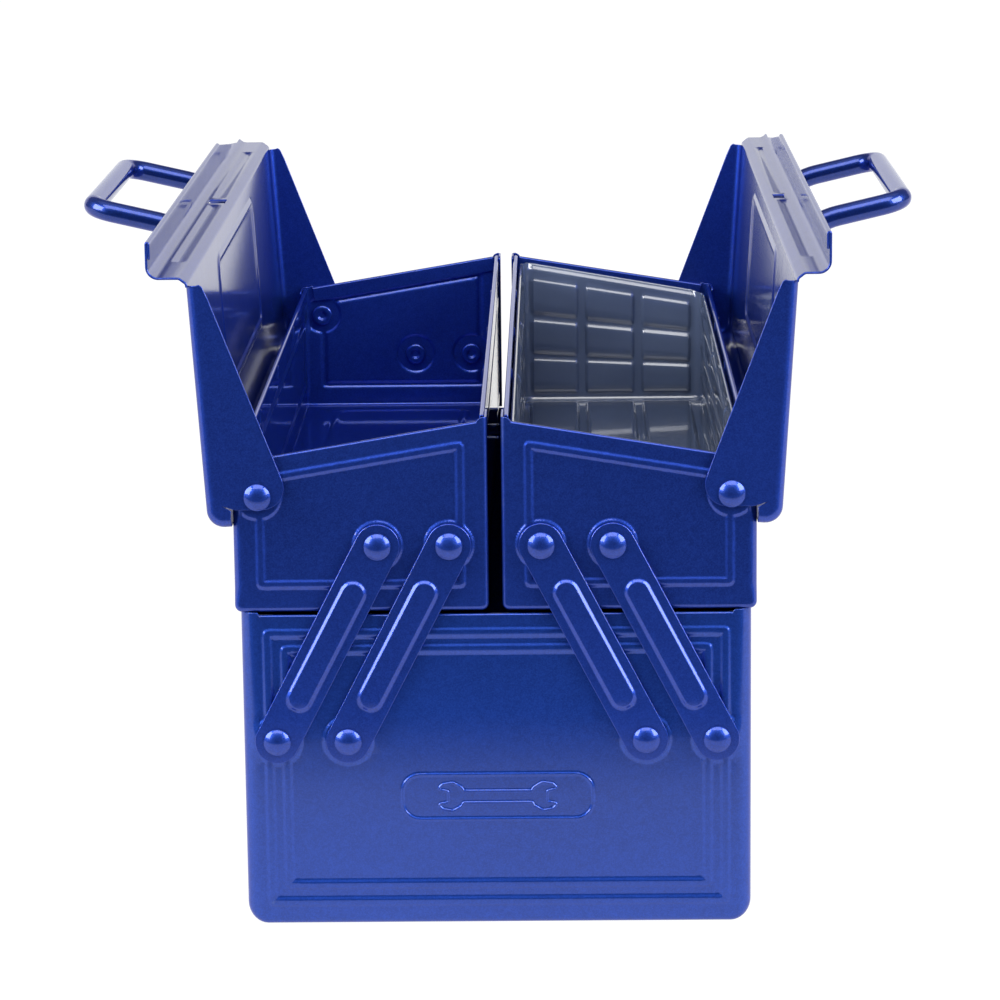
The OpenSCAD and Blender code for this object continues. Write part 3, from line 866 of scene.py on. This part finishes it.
def arm_plate():
    """A front arm in its own plane: u across, v along, height outwards."""
    w = ARM_W / 2 - 0.3
    loop = list(arc(0, 0, w, 180, 360, 22)) + list(arc(0, ARM_LEN, w, 0, 180, 22))
    loop = round_line(loop, 0.0, step=1.4)
    holes = [arc(0, c, 2.75, 0, 360, 24)[:-1] for c in (0, ARM_LEN)]
    a, b = 15.9, ARM_LEN - 16.9
    rib = Bead(np.array([(0, v) for v in np.linspace(a, b, 40)]), 4.45, 0.88, closed=False, flat=2.95, gap=0.25)

    class Lip:
        gap = 0.3

        def height(self, p):
            return np.zeros(len(p))

        def points(self):
            out = []
            for o in (0.5, 1.2):
                q = w - o
                out.append(round_line(list(arc(0, 0, q, 180, 360, 22)) + list(arc(0, ARM_LEN, q, 0, 180, 22)), 0.0, step=1.6))
            for c in (0, ARM_LEN):
                for rr in (3.2, 4.4, 5.6):
                    out.append(arc(0, c, rr, 0, 360, 24)[:-1])
            return np.vstack(out)

    co, tris = plate([loop] + holes, [rib, Lip()], coarse=3.5)
    return co, tris, rib.height(co)


ARM_CO, ARM_TRI, ARM_H = arm_plate()


def arm(name, x, side, end, body, node):
    su = math.cos(math.pi / 2 - ARM_RISE), math.sin(math.pi / 2 - ARM_RISE)
    u, v = ARM_CO[:, 0], ARM_CO[:, 1]
    X = x + u * su[0] + v * su[1]
    Z = PIVOT_Z - u * su[1] + v * su[0]
    Y = -(ARM_FACE + ARM_T + ARM_H)
    g = Geo()
    g.add(np.c_[X, Y, Z], ARM_TRI)
    fy = end == "rear"
    g = flipped(g, side == "right", fy)
    sx = 1 if side == "right" else -1
    mx = x + 20 * su[1]
    shell(name, g, ((-mx * sx if side == "right" else mx, -ARM_FACE if not fy else ARM_FACE, PIVOT_Z + 20 * su[0]), (0, 1 if fy else -1, 0)),
          body, [node], M_ARM, t=ARM_T - 0.02, ext=0.3, seg=4)


for side in ("left", "right"):
    for kind, x in (("outer", -PIVOT_X), ("inner", -PIVOT_X + PIVOT_GAP)):
        for end in ("front", "rear"):
            arm(f"{side}_{kind}_link_{end}", x, side, end, f"{side}_{kind}_arms", f"{side}_{kind}_arm_{end}")

# ---------------------------------------------------------------- rivets


def rivet_profile(out):
    """(radius, distance from the middle) from the outer crown to the inner crown."""
    base = out + 0.1
    ball = (HEAD_R**2 + HEAD_H**2) / (2 * HEAD_H)
    p = []
    lim = math.asin(4.25 / ball)
    for a in np.linspace(0, lim, 12):
        p.append((ball * math.sin(a), base + HEAD_H - ball + ball * math.cos(a)))
    p += [(4.36, base + 0.16), (4.38, base + 0.08), (4.3, base), (SHANK, base)]
    inner = HALF - SHEET - 0.02
    p += [(SHANK, inner), (3.9, inner), (4.0, inner - 0.1), (4.0, inner - 0.55), (3.8, inner - 0.9), (3.3, inner - 1.12),
          (2.8, inner - 1.18), (2.2, inner - 1.18), (1.8, inner - 1.08), (1.5, inner - 0.8), (1.3, inner - 0.5),
          (0.8, inner - 0.42), (0.0, inner - 0.42)]
    return np.array(p)


def rivets(name, spots, out, body, node, ends, fx=False):
    V, F, n0 = [], [], 0
    prof = rivet_profile(out)
    seg = 40
    for x, z in spots:
        for fy in ends:
            rows = []
            for r, d in prof:
                w = np.linspace(0, 2 * math.pi, seg, endpoint=False)
                rows.append(np.c_[x + r * np.cos(w), np.full(seg, -d), z + r * np.sin(w)])
            P = np.array(rows)
            m = len(prof)
            top, bot = P[0, 0], P[-1, 0]
            body_rows = P[1:-1]
            vs = np.vstack([[top], body_rows.reshape(-1, 3), [bot]])
            fs = []
            for j in range(seg):
                k = (j + 1) % seg
                fs.append((0, 1 + j, 1 + k))
                for i in range(m - 3):
                    a = 1 + i * seg
                    fs.append((a + j, a + seg + j, a + seg + k, a + k))
                e = 1 + (m - 3) * seg
                fs.append((e + j, len(vs) - 1, e + k))
            s = np.array([-1 if fx else 1, -1 if fy else 1, 1.0])
            vs = vs * s
            V.append(vs)
            F += [tuple(i + n0 for i in f) for f in fs]
            n0 += len(vs)
    V = np.vstack(V)
    bm = bmesh.new()
    bv = [bm.verts.new(v) for v in V]
    for f in F:
        bm.faces.new([bv[i] for i in f])
    bmesh.ops.recalc_face_normals(bm, faces=bm.faces)
    me = bpy.data.meshes.new(name)
    bmesh.ops.scale(bm, vec=(0.001,) * 3, verts=bm.verts)
    bm.to_mesh(me)
    bm.free()
    for p in me.polygons:
        p.use_smooth = True
    me.set_sharp_from_angle(angle=math.radians(50))
    ob = bpy.data.objects.new(name, me)
    bpy.context.scene.collection.objects.link(ob)
    me.materials.append(M_RIVET)
    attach(ob, body)
    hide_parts(node)
    return ob


ARM_OUT = ARM_FACE + ARM_T
rivets("box_rivets_front", PIVOTS, ARM_OUT, "case", "lower_arm_rivets_front", (False,))
rivets("box_rivets_rear", PIVOTS, ARM_OUT, "case", "lower_arm_rivets_rear", (True,))
for side, fx in (("right", False), ("left", True)):
    rivets(f"{side}_tray_rivets", T_PIVOTS, ARM_OUT, f"{side}_tray", f"{side}_tray_arm_rivets", (False, True), fx)
    rivets(f"{side}_roof_rivets", [(HX, HZ)], CHEEK_FACE, f"{side}_tray", f"{side}_hinge_rivets", (False, True), fx)

# ---------------------------------------------------------------- roof halves


def rot(p, q):
    c, s = math.cos(LEAN), math.sin(LEAN)
    return p * c - q * s, p * s + q * c


def unrot(x, z):
    c, s = math.cos(LEAN), math.sin(LEAN)
    return x * c + z * s, -x * s + z * c


def lid(ridge, cap):
    """Left roof half about its hinge: panel, skirt, cheeks and ridge strip."""
    g = Geo()
    Rc = 3.2
    yb = CHEEK_FACE - Rc
    rb = 5.5
    xw = -CREASE_X - ridge
    slot0, slot1 = -CREASE_X - 7.9, -CREASE_X - 1.9
    q_top = 67.2
    # section of panel, bottom bend and skirt, as (p, q, normal)
    sec = []
    rect_q = (16.0, 60.5)
    for q in axis(-SKIRT_DROP + rb, q_top, [(rect_q[0] - 2.2, rect_q[0] + 7, 0.7), (rect_q[1] - 7, rect_q[1] + 2.2, 0.7)], 5.0)[::-1]:
        sec.append((-PANEL_OFF, q, -1.0, 0.0, 1))
    for a in np.radians(np.linspace(180, 270, 10))[1:]:
        sec.append((-PANEL_OFF + rb + rb * math.cos(a), -SKIRT_DROP + rb + rb * math.sin(a), math.cos(a), math.sin(a), 0))
    sec.append((-9.9, -SKIRT_DROP, 0.0, -1.0, 0))
    sec.append((-8.9, -SKIRT_DROP, 0.0, -1.0, 0))
    sec = np.array(sec)
    rl = 73.0
    zones = [(-rl - 2.2, -rl + 7, 0.7), (rl - 7, rl + 2.2, 0.7), (-5.6, -4.4, 0.3), (4.4, 5.6, 0.3),
             (-12.5, -7.0, 0.5), (7.0, 12.5, 0.5), (-147, -138, 0.6), (138, 147, 0.6), (78.5, 80.5, 0.5)]
    ys = axis(-yb, yb, zones + [(-5, 5, 1.0)], 6.0)
    bead = Bead(round_line([(-rl, rect_q[0]), (rl, rect_q[0]), (rl, rect_q[1]), (-rl, rect_q[1])], 5.0, step=2.5, n=7), 1.7, 0.5, flat=0.2)
    YY, QQ = np.meshgrid(ys, sec[:, 1])
    H = -bead.height(np.c_[YY.ravel(), QQ.ravel()]).reshape(YY.shape) * sec[:, 4][:, None]
    G = np.zeros((len(sec), len(ys), 3))
    Pp = sec[:, 0][:, None] + sec[:, 2][:, None] * H
    Qq = sec[:, 1][:, None] + sec[:, 3][:, None] * H
    G[:, :, 0], G[:, :, 2] = rot(Pp, Qq)
    G[:, :, 1] = ys[None, :]
    g.grid(G)
    # rolled ends that lead into the cheeks
    last = None
    for s in (-1, 1):
        rows = []
        for a in np.radians(np.linspace(0, 90, 8)):
            k = Rc * (1 - math.cos(a))
            p, q = sec[:, 0] - sec[:, 2] * k, sec[:, 1] - sec[:, 3] * k
            x, z = rot(p, q)
            rows.append(np.c_[x, np.full(len(x), s * (yb + Rc * math.sin(a))), z])
            last = np.c_[p, q]
        g.grid(np.array(rows))
    # cheeks
    poly = [unrot(*c) for c in ((-15.6, 66.0), (-14.0, 62.5), (4.8, 13.0))]
    side_r, cc = 6.8, (1.3, 2.9)
    lobe = [unrot(cc[0] + side_r * math.cos(math.radians(w)), cc[1] + side_r * math.sin(math.radians(w)))
            for w in np.linspace(20.8, -90, 18)]
    under = [unrot(*c) for c in ((-7.0, -3.9), (-11.4, -2.6))]
    nose = [unrot(*c) for c in ((-8.4, -4.5),)]
    start = last[0]
    tail = last[-1]
    head = [tuple(start), (start[0] + 0.9, start[1] + 0.25)]
    rest = round_line([head[1]] + poly + [lobe[0]], [0, 1.6, 2.5, 3.0, 0], step=1.5, closed=False)
    loop = [tuple(p) for p in last[::-1]] + [head[1]] + [tuple(p) for p in rest[1:]] + lobe[1:] + under + nose
    # the loop runs from the skirt end up the rolled edge, over the top and back under the hinge
    clean = []
    for p in loop:
        if not clean or math.hypot(p[0] - clean[-1][0], p[1] - clean[-1][1]) > 0.05:
            clean.append(p)
    loop = np.array(clean)
    hole = np.array([unrot(2.75 * math.cos(w), 2.75 * math.sin(w)) for w in np.linspace(0, 2 * math.pi, 24, endpoint=False)])
    rings = [np.array([unrot(r * math.cos(w), r * math.sin(w)) for w in np.linspace(0, 2 * math.pi, 28, endpoint=False)])
             for r in (3.4, 4.6, 6.0)]
    co, tris = plate([loop, hole], [], coarse=3.2, extra=[(r, 0.4) for r in rings])
    x, z = rot(co[:, 0], co[:, 1])
    for s in (-1, 1):
        g.add(np.c_[x, np.full(len(x), s * CHEEK_FACE), z], tris)
    # ridge strip: joggle, floor, bend, wall
    b = rot(-PANEL_OFF, q_top)
    b2 = rot(-PANEL_OFF, 68.0)
    jog = round_line([b, b2, (-22.5, RIDGE_Z), (-24.0, RIDGE_Z)], [0, 0.8, 1.2, 0], step=0.5, n=4, closed=False)[:-1]
    floor_x = axis(xw + 4, -22.9, [(slot0 - 0.4, slot0 + 0.4, 0.2), (slot1 - 0.4, slot1 + 0.4, 0.2), (-28.2, -22.9, 0.5)], 1.4)[::-1]
    floor_x = [x for x in floor_x if x < jog[-1][0] - 0.1]
    path = [tuple(p) for p in jog] + [(x, RIDGE_Z) for x in floor_x]
    n_floor = len(path)
    bend = [tuple(p) for p in arc(xw + 4, RIDGE_Z + 4, 4, 270, 180, 10)[1:]]
    wall = [(xw, z) for z in axis(RIDGE_Z + 4, RIDGE_Z + cap - HEM_R, [], 2.0)[1:]]
    up = np.array([path[-1]] + bend + wall)
    sl = np.r_[0, np.cumsum(np.linalg.norm(np.diff(up, axis=0), axis=1))]
    ye = np.r_[[-CHEEK_FACE, -CHEEK_FACE + 0.8], ys, [CHEEK_FACE - 0.8, CHEEK_FACE]]
    ye = np.unique(np.round(np.r_[ye, axis(79.5, CHEEK_FACE, [], 4.0)], 6))
    ye = ye[np.r_[True, np.diff(ye) > 0.05]]
    cut_from, cut_to = CHEEK_FACE - 12 - 85, CHEEK_FACE - 12
    tapered = np.interp(ye, [cut_from, cut_to], [cap - HEM_R, 1.6])
    hi = np.where(ye <= cut_from, cap - HEM_R, tapered)
    rows = []
    fl = np.array(path)
    for i in range(n_floor):
        rows.append(np.c_[np.full(len(ye), fl[i, 0]), ye, np.full(len(ye), fl[i, 1])])
    fr = sl / sl[-1]
    zrel = up[:, 1] - RIDGE_Z
    cols = []
    for c in range(len(ye)):
        L = np.interp(hi[c], zrel[zrel > -1e-6], sl) if hi[c] < zrel[-1] - 1e-6 else sl[-1]
        l = fr * L
        cols.append(np.c_[np.interp(l, sl, up[:, 0]), np.full(len(l), ye[c]), np.interp(l, sl, up[:, 1])])
    cols = np.array(cols).transpose(1, 0, 2)[1:]
    G = np.concatenate([np.array(rows), cols])
    # long beads pressed down either side of the padlock slot
    mid = (slot0 + slot1) / 2
    sunk = [Bead(np.array([(mid, s * a) for a in np.linspace(10.5, 142.0, 60)]), 2.6, 0.62, closed=False, flat=0.5) for s in (-1, 1)]
    ok = np.zeros(G.shape[:2], bool)
    ok[:n_floor] = True
    P2 = np.c_[G[:, :, 0].ravel(), G[:, :, 1].ravel()]
    D = np.zeros(len(P2))
    for f in sunk:
        D = np.maximum(D, f.height(P2))
    D = D.reshape(G.shape[:2]) * ok
    G[:, :, 2] -= D
    cx = (G[:-1, :-1, 0] + G[1:, :-1, 0]) / 2
    cy = (G[:-1, :-1, 1] + G[:-1, 1:, 1]) / 2
    skip = np.zeros((G.shape[0] - 1, G.shape[1] - 1), bool)
    skip[: n_floor - 1] = ((cx > slot0) & (cx < slot1) & (np.abs(cy) < 5.0))[: n_floor - 1]
    g.grid(G, skip)
    # hem on the wall, up to the relief
    yh = ye[ye <= cut_from + 1e-6]
    rows = []
    ztop = RIDGE_Z + cap - HEM_R
    for a in np.radians(np.linspace(180, 0, 9)):
        rows.append(np.c_[np.full(len(yh), xw + HEM_R + HEM_R * math.cos(a)), yh, np.full(len(yh), ztop + HEM_R * math.sin(a))])
    for l in (1.6, 3.2, 4.6):
        rows.append(np.c_[np.full(len(yh), xw + 2 * HEM_R), yh, np.full(len(yh), ztop - l)])
    g.grid(np.array(rows))
    for V in g.v:
        V[:, 0] -= HX
        V[:, 2] += HZ
    return g


for side, fx, ridge, cap in (("left", False, 12.0, 11.9), ("right", True, 9.9, 13.3)):
    sx = 1 if fx else -1
    px, pz = rot(-PANEL_OFF, 38.0)
    shell(f"{side}_roof", flipped(lid(ridge, cap), fx), ((sx * (HX - px), 0, HZ + pz), (sx, 0, 0)), f"{side}_lid",
          [f"{side}_lid_shell"], M_LID_LIGHTENED, t=0.78)

# ---------------------------------------------------------------- handles


def handle(side, fx):
    rr, gap, bend, rise = 3.5, 110.0, 23.5, math.radians(13.1)
    out, up = 62.9, 74.65
    a_off = PANEL_OFF + rr + 0.1 + bend
    reach = up * math.cos(rise) - out * math.sin(rise)
    u = (reach - bend + a_off * math.sin(rise + LEAN)) / math.cos(rise + LEAN)
    turn = math.pi / 2 - rise - LEAN
    cx, cz = rot(-a_off, u)
    line = []  # (x, z, flatness)
    for q, fl in ((-15.0, 1), (-14.3, 1), (-12.5, 1), (-9, 1), (-5.0, 1), (-3, 0.85), (-1.5, 0.6), (0.0, 0.4)):
        p = -PANEL_OFF - 0.1 - (2.8 * fl + rr * (1 - fl))
        line.append((*rot(p, u + q), fl))
    for k in range(1, 17):
        a = LEAN + turn * k / 16
        line.append((cx + bend * math.cos(a), cz + bend * math.sin(a), max(0.0, 0.4 - 0.12 * k)))
    gx, gz = -out, up
    end = np.array([line[-1][0], line[-1][1]])
    d = np.array([gx, gz]) - end
    L = np.linalg.norm(d)
    d /= L
    for s in np.linspace(0, L - 7.5, 6)[1:]:
        line.append((*(end + d * s), 0.0))
    half = []
    for x, z, fl in line:
        half.append((x, -gap / 2, z, fl))
    for k in range(1, 9):
        a = math.pi / 2 * k / 8
        c = np.array([gx, gz]) - d * 7.5
        pos = c + d * 7.5 * math.sin(a)
        half.append((pos[0], -gap / 2 + 7.5 * (1 - math.cos(a)), pos[1], 0.0))
    full = half + [(gx, y, gz, 0.0) for y in np.linspace(-gap / 2 + 7.5, gap / 2 - 7.5, 12)[1:-1]]
    full += [(x, -y, z, fl) for x, y, z, fl in half[::-1]]
    P = np.array([p[:3] for p in full])
    FL = np.array([p[3] for p in full])
    T = np.gradient(P, axis=0)
    T /= np.linalg.norm(T, axis=1)[:, None]
    seg = 28
    rows = []
    Yv = np.array([0.0, 1.0, 0.0])
    A = np.cross(np.array([0, 0, 1.0]), T[0])
    A = Yv.copy()
    prev = A
    for i in range(len(P)):
        A = prev - T[i] * (prev @ T[i])
        A /= np.linalg.norm(A)
        B = np.cross(T[i], A)
        prev = A
        wa = 4.5 * FL[i] + rr * (1 - FL[i])
        wb = 2.8 * FL[i] + rr * (1 - FL[i])
        e = 2.0 + 1.6 * FL[i]
        w = np.linspace(0, 2 * math.pi, seg, endpoint=False)
        ca = np.sign(np.cos(w)) * np.abs(np.cos(w)) ** (2 / e)
        sa = np.sign(np.sin(w)) * np.abs(np.sin(w)) ** (2 / e)
        shrink = 1.0
        if i in (0, len(P) - 1):
            shrink = 0.82
        rows.append(P[i] + (A[None] * (ca * wa)[:, None] + B[None] * (sa * wb)[:, None]) * shrink)
    G = np.array(rows)
    V = G.reshape(-1, 3)
    F = []
    n = len(P)
    for i in range(n - 1):
        for j in range(seg):
            k = (j + 1) % seg
            F.append((i * seg + j, i * seg + k, (i + 1) * seg + k, (i + 1) * seg + j))
    V = np.vstack([V, G[0].mean(0), G[-1].mean(0)])
    for j in range(seg):
        k = (j + 1) % seg
        F.append((len(V) - 2, k, j))
        F.append((len(V) - 1, (n - 1) * seg + j, (n - 1) * seg + k))
    V[:, 0] -= HX
    V[:, 2] += HZ
    if fx:
        V[:, 0] *= -1
    F = oriented(V, F, ((((1 if fx else -1)) * (HX + out + rr), 0, HZ + up), ((1 if fx else -1), 0, 0)))
    N = vertex_normals(V, F)
    return make(f"{side}_grip", V, F, N, f"{side}_lid", [f"{side}_handle"], M_HANDLE_SHADED)


handle("left", False)
handle("right", True)

# ---------------------------------------------------------------- parts liner


def liner():
    lo, hi = node_box("parts_liner")
    lip_x0, lip_x1 = lo[0], hi[0]
    x0, x1, ye = lip_x0 + 0.8, lip_x1 - 0.8, hi[1] - 1.2
    z0 = lo[2]
    za = hi[2]
    zb = za - 13.0
    rc, rb, lift = 5.0, 3.0, 1.3

    def ztop(x):
        return za + (zb - za) * (x - lip_x0) / (lip_x1 - lip_x0)

    cols = [(8.9, 28.4), (31.0, 50.6), (53.3, 73.0)]
    ybands = [(-162.9, -56.6), (-53.1, 53.1), (56.6, 162.9)]
    trows = [(0.075, 0.325), (0.362, 0.605), (0.645, 0.90)]
    e = 1.4

    def band(u, spans, e):
        m = np.zeros_like(u)
        for a, b in spans:
            m = np.maximum(m, smooth01((u - a) / e) * smooth01((b - u) / e))
        return m

    def marks(spans, lo_, hi_, coarse):
        z = []
        for a, b in spans:
            z += [(a - 0.5, a, 0.5), (a, a + e, 0.26), (a + e, a + e + 0.5, 0.5), (b - e - 0.5, b - e, 0.5), (b - e, b, 0.26), (b, b + 0.5, 0.5)]
        return axis(lo_, hi_, z, coarse)

    # walk round the rim
    per = []  # x, y, normal, mask
    ax = marks(cols, x0 + rc, x1 - rc, 5.0)
    ay = marks(ybands, -ye + rc, ye - rc, 6.0)
    for x in ax:
        per.append((x, -ye, 0, -1, band(np.array([x]), cols, e)[0]))
    for a in np.radians(np.linspace(-90, 0, 7))[1:-1]:
        per.append((x1 - rc + rc * math.cos(a), -ye + rc + rc * math.sin(a), math.cos(a), math.sin(a), 0))
    for y in ay:
        per.append((x1, y, 1, 0, band(np.array([y]), ybands, e)[0]))
    for a in np.radians(np.linspace(0, 90, 7))[1:-1]:
        per.append((x1 - rc + rc * math.cos(a), ye - rc + rc * math.sin(a), math.cos(a), math.sin(a), 0))
    for x in ax[::-1]:
        per.append((x, ye, 0, 1, band(np.array([x]), cols, e)[0]))
    for a in np.radians(np.linspace(90, 180, 7))[1:-1]:
        per.append((x0 + rc + rc * math.cos(a), ye - rc + rc * math.sin(a), math.cos(a), math.sin(a), 0))
    for y in ay[::-1]:
        per.append((x0, y, -1, 0, band(np.array([y]), ybands, e)[0]))
    for a in np.radians(np.linspace(180, 270, 7))[1:-1]:
        per.append((x0 + rc + rc * math.cos(a), -ye + rc + rc * math.sin(a), math.cos(a), math.sin(a), 0))
    per = np.array(per + [per[0]])
    xy, nn, msk = per[:, :2], per[:, 2:4], per[:, 4]
    tz = []
    for a, b in trows:
        k = 1.4 / 52
        tz += [(a - 0.01, a, 0.01), (a, a + k, k / 5), (a + k, a + k + 0.01, 0.01),
               (b - k - 0.01, b - k, 0.01), (b - k, b, k / 5), (b, b + 0.01, 0.01)]
    ts = axis(rb / 52.0, 0.945, tz, 0.09)
    rows = []
    for a in np.radians(np.linspace(0, 90, 6))[:-1]:  # bottom bend, from the floor up
        k = rb * (1 - math.sin(a))
        p = xy - nn * k
        rows.append(np.c_[p[:, 0], p[:, 1], np.full(len(p), z0 + rb * (1 - math.cos(a)))])
    tm = band(ts, trows, 1.4 / 52)
    for t, m in zip(ts, tm):
        zt = ztop(xy[:, 0])
        zz = z0 + rb + (zt - 2.9 - z0 - rb) * (t - ts[0]) / (ts[-1] - ts[0])
        p = xy - nn * (lift * m * msk)[:, None]
        rows.append(np.c_[p[:, 0], p[:, 1], zz])
    # lip: out over the top and a little down
    for o, dz in ((0.0, -2.5), (0.12, -2.1), (0.32, -1.7), (0.6, -1.2), (0.82, -0.72), (0.95, -0.35), (1.08, -0.08), (1.17, -0.15), (1.2, -0.5)):
        o = min(o, 1.2)
        k = np.where(np.abs(nn[:, 0]) > 0.5, o * 0.1 / 1.2, o)
        p = xy + nn * k[:, None]
        rows.append(np.c_[p[:, 0], p[:, 1], ztop(np.clip(p[:, 0], lip_x0, lip_x1)) + dz])
    g = Geo()
    g.grid(np.array(rows))
    # floor
    inner = (xy - nn * rb)[:-1]
    keep = [0]
    for i in range(1, len(inner)):
        if np.linalg.norm(inner[i] - inner[keep[-1]]) > 1e-3:
            keep.append(i)
    loop = inner[keep]
    gx = marks(cols, x0 + rb + 0.5, x1 - rb - 0.5, 5.0)
    gy = marks(ybands, -ye + rb + 0.5, ye - rb - 0.5, 6.0)
    XX, YY = np.meshgrid(gx, gy)
    co, tris = plate([loop], [], coarse=8.0, extra=[(np.c_[XX.ravel(), YY.ravel()], 0.2)])
    zz = z0 + lift * band(co[:, 0], cols, e) * band(co[:, 1], ybands, e)
    g.add(np.c_[co[:, 0], co[:, 1], zz], tris)
    return g


shell("clear_liner", liner(), ((42, 0, 104), (0, 0, -1)), "liner", ["parts_liner"], M_LINER, t=0.5, ext=0.1,
      seg=2)

# ---------------------------------------------------------------- floor, light, camera


def stage_plane(name, verts, mat):
    me = bpy.data.meshes.new(name)
    me.from_pydata(verts, [], [tuple(range(len(verts)))])
    me.materials.append(mat)
    ob = bpy.data.objects.new(name, me)
    bpy.context.scene.collection.objects.link(ob)
    return ob


fl = bpy.data.materials.new("floor")
nt, bs = nodes_of(fl)
bs.inputs["Base Color"].default_value = (0.06, 0.06, 0.061, 1)
bs.inputs["Roughness"].default_value = 0.95
bs.inputs["Specular IOR Level"].default_value = 0.05
bs.inputs["Emission Color"].default_value = (1, 1, 1, 1)
bs.inputs["Emission Strength"].default_value = 1.0
stage_plane("floor", [(-9, -9, 0), (9, -9, 0), (9, 9, 0), (-9, 9, 0)], fl)

dark = bpy.data.materials.new("flag")
nt, bs = nodes_of(dark)
bs.inputs["Base Color"].default_value = (0.012, 0.012, 0.014, 1)
bs.inputs["Roughness"].default_value = 1.0
bs.inputs["Specular IOR Level"].default_value = 0.0
edge_tc = nt.nodes.new("ShaderNodeTexCoord")
sep = nt.nodes.new("ShaderNodeSeparateXYZ")
nt.links.new(edge_tc.outputs["Object"], sep.inputs[0])
mr = nt.nodes.new("ShaderNodeMapRange")
mr.interpolation_type = "SMOOTHSTEP"
mr.inputs["From Min"].default_value = -0.30
mr.inputs["From Max"].default_value = -0.43
mr.inputs["To Min"].default_value = 0.0
mr.inputs["To Max"].default_value = 1.0
nt.links.new(sep.outputs["Y"], mr.inputs["Value"])
nt.links.new(mr.outputs[0], bs.inputs["Alpha"])


def flag(name, verts):
    """A dark studio card that only shows in reflections."""
    ob = stage_plane(name, verts, dark)
    ob.visible_camera = False
    ob.visible_diffuse = False
    ob.visible_shadow = False
    ob.visible_transmission = False
    return ob


flag("flag_table", [(-3, -6, 0.002), (3, -6, 0.002), (3, -0.29, 0.002), (-3, -0.29, 0.002)])
flag("flag_front", [(-1.5, -2.0, 0.0), (1.5, -2.0, 0.0), (1.2, -2.0, 1.45), (-1.2, -2.0, 1.45)])

world = bpy.data.worlds.new("studio")
bpy.context.scene.world = world
world.use_nodes = True
bg = world.node_tree.nodes["Background"]
bg.inputs["Color"].default_value = (0.96, 0.97, 1.0, 1)
bg.inputs["Strength"].default_value = 0.20


def softbox(name, loc, target, size, radiance):
    li = bpy.data.lights.new(name, "AREA")
    li.shape = "RECTANGLE"
    li.size, li.size_y = size
    li.energy = radiance * math.pi * size[0] * size[1]
    ob = bpy.data.objects.new(name, li)
    ob.location = loc
    d = Vector(target) - Vector(loc)
    ob.rotation_euler = d.to_track_quat("-Z", "Y").to_euler()
    bpy.context.scene.collection.objects.link(ob)
    return ob


softbox("side_left", (-1.22, -0.62, 0.80), (-0.05, -0.1, 0.1), (1.0, 1.0), 9.3)
softbox("side_right", (1.22, -0.62, 0.80), (0.05, -0.1, 0.1), (1.0, 1.0), 9.3)
softbox("top_front", (0, -0.78, 1.5), (0, -0.1, 0.12), (1.5, 0.95), 3.9)
softbox("top", (0, 0.2, 1.75), (0, 0, 0.1), (1.8, 0.9), 0.4)

wall_mat = bpy.data.materials.new("backdrop")
nt, bs = nodes_of(wall_mat)
bs.inputs["Base Color"].default_value = (0.3, 0.3, 0.3, 1)
bs.inputs["Roughness"].default_value = 0.95
bs.inputs["Specular IOR Level"].default_value = 0.05
bs.inputs["Emission Color"].default_value = (1, 1, 1, 1)
bs.inputs["Emission Strength"].default_value = 0.78
stage_plane("backdrop", [(-5, 4.6, 0), (5, 4.6, 0), (5, 4.6, 2.6), (-5, 4.6, 2.6)], wall_mat)

cam = bpy.data.cameras.new("camera")
cam.sensor_width = 36.0
cam.lens = 36.0 * 3881.79 / 1000.0
cam.clip_start, cam.clip_end = 0.05, 60
ob = bpy.data.objects.new("camera", cam)
yaw, pitch, roll = -0.0154, 0.2091, -0.0116
fwd = Vector((math.sin(yaw) * math.cos(pitch), math.cos(yaw) * math.cos(pitch), -math.sin(pitch)))
right0 = Vector((math.cos(yaw), -math.sin(yaw), 0))
up0 = right0.cross(fwd)
right = right0 * math.cos(roll) + up0 * math.sin(roll)
up = -right0 * math.sin(roll) + up0 * math.cos(roll)
rotm = Matrix((right, up, -fwd)).transposed()
ob.matrix_world = Matrix.Translation((0.01989, -1.35328, 0.38754)) @ rotm.to_4x4()
bpy.context.scene.collection.objects.link(ob)
bpy.context.scene.camera = ob
bpy.context.scene.view_settings.view_transform = "Standard"

# ---------------------------------------------------------------- final view layer update
bpy.context.view_layer.update()
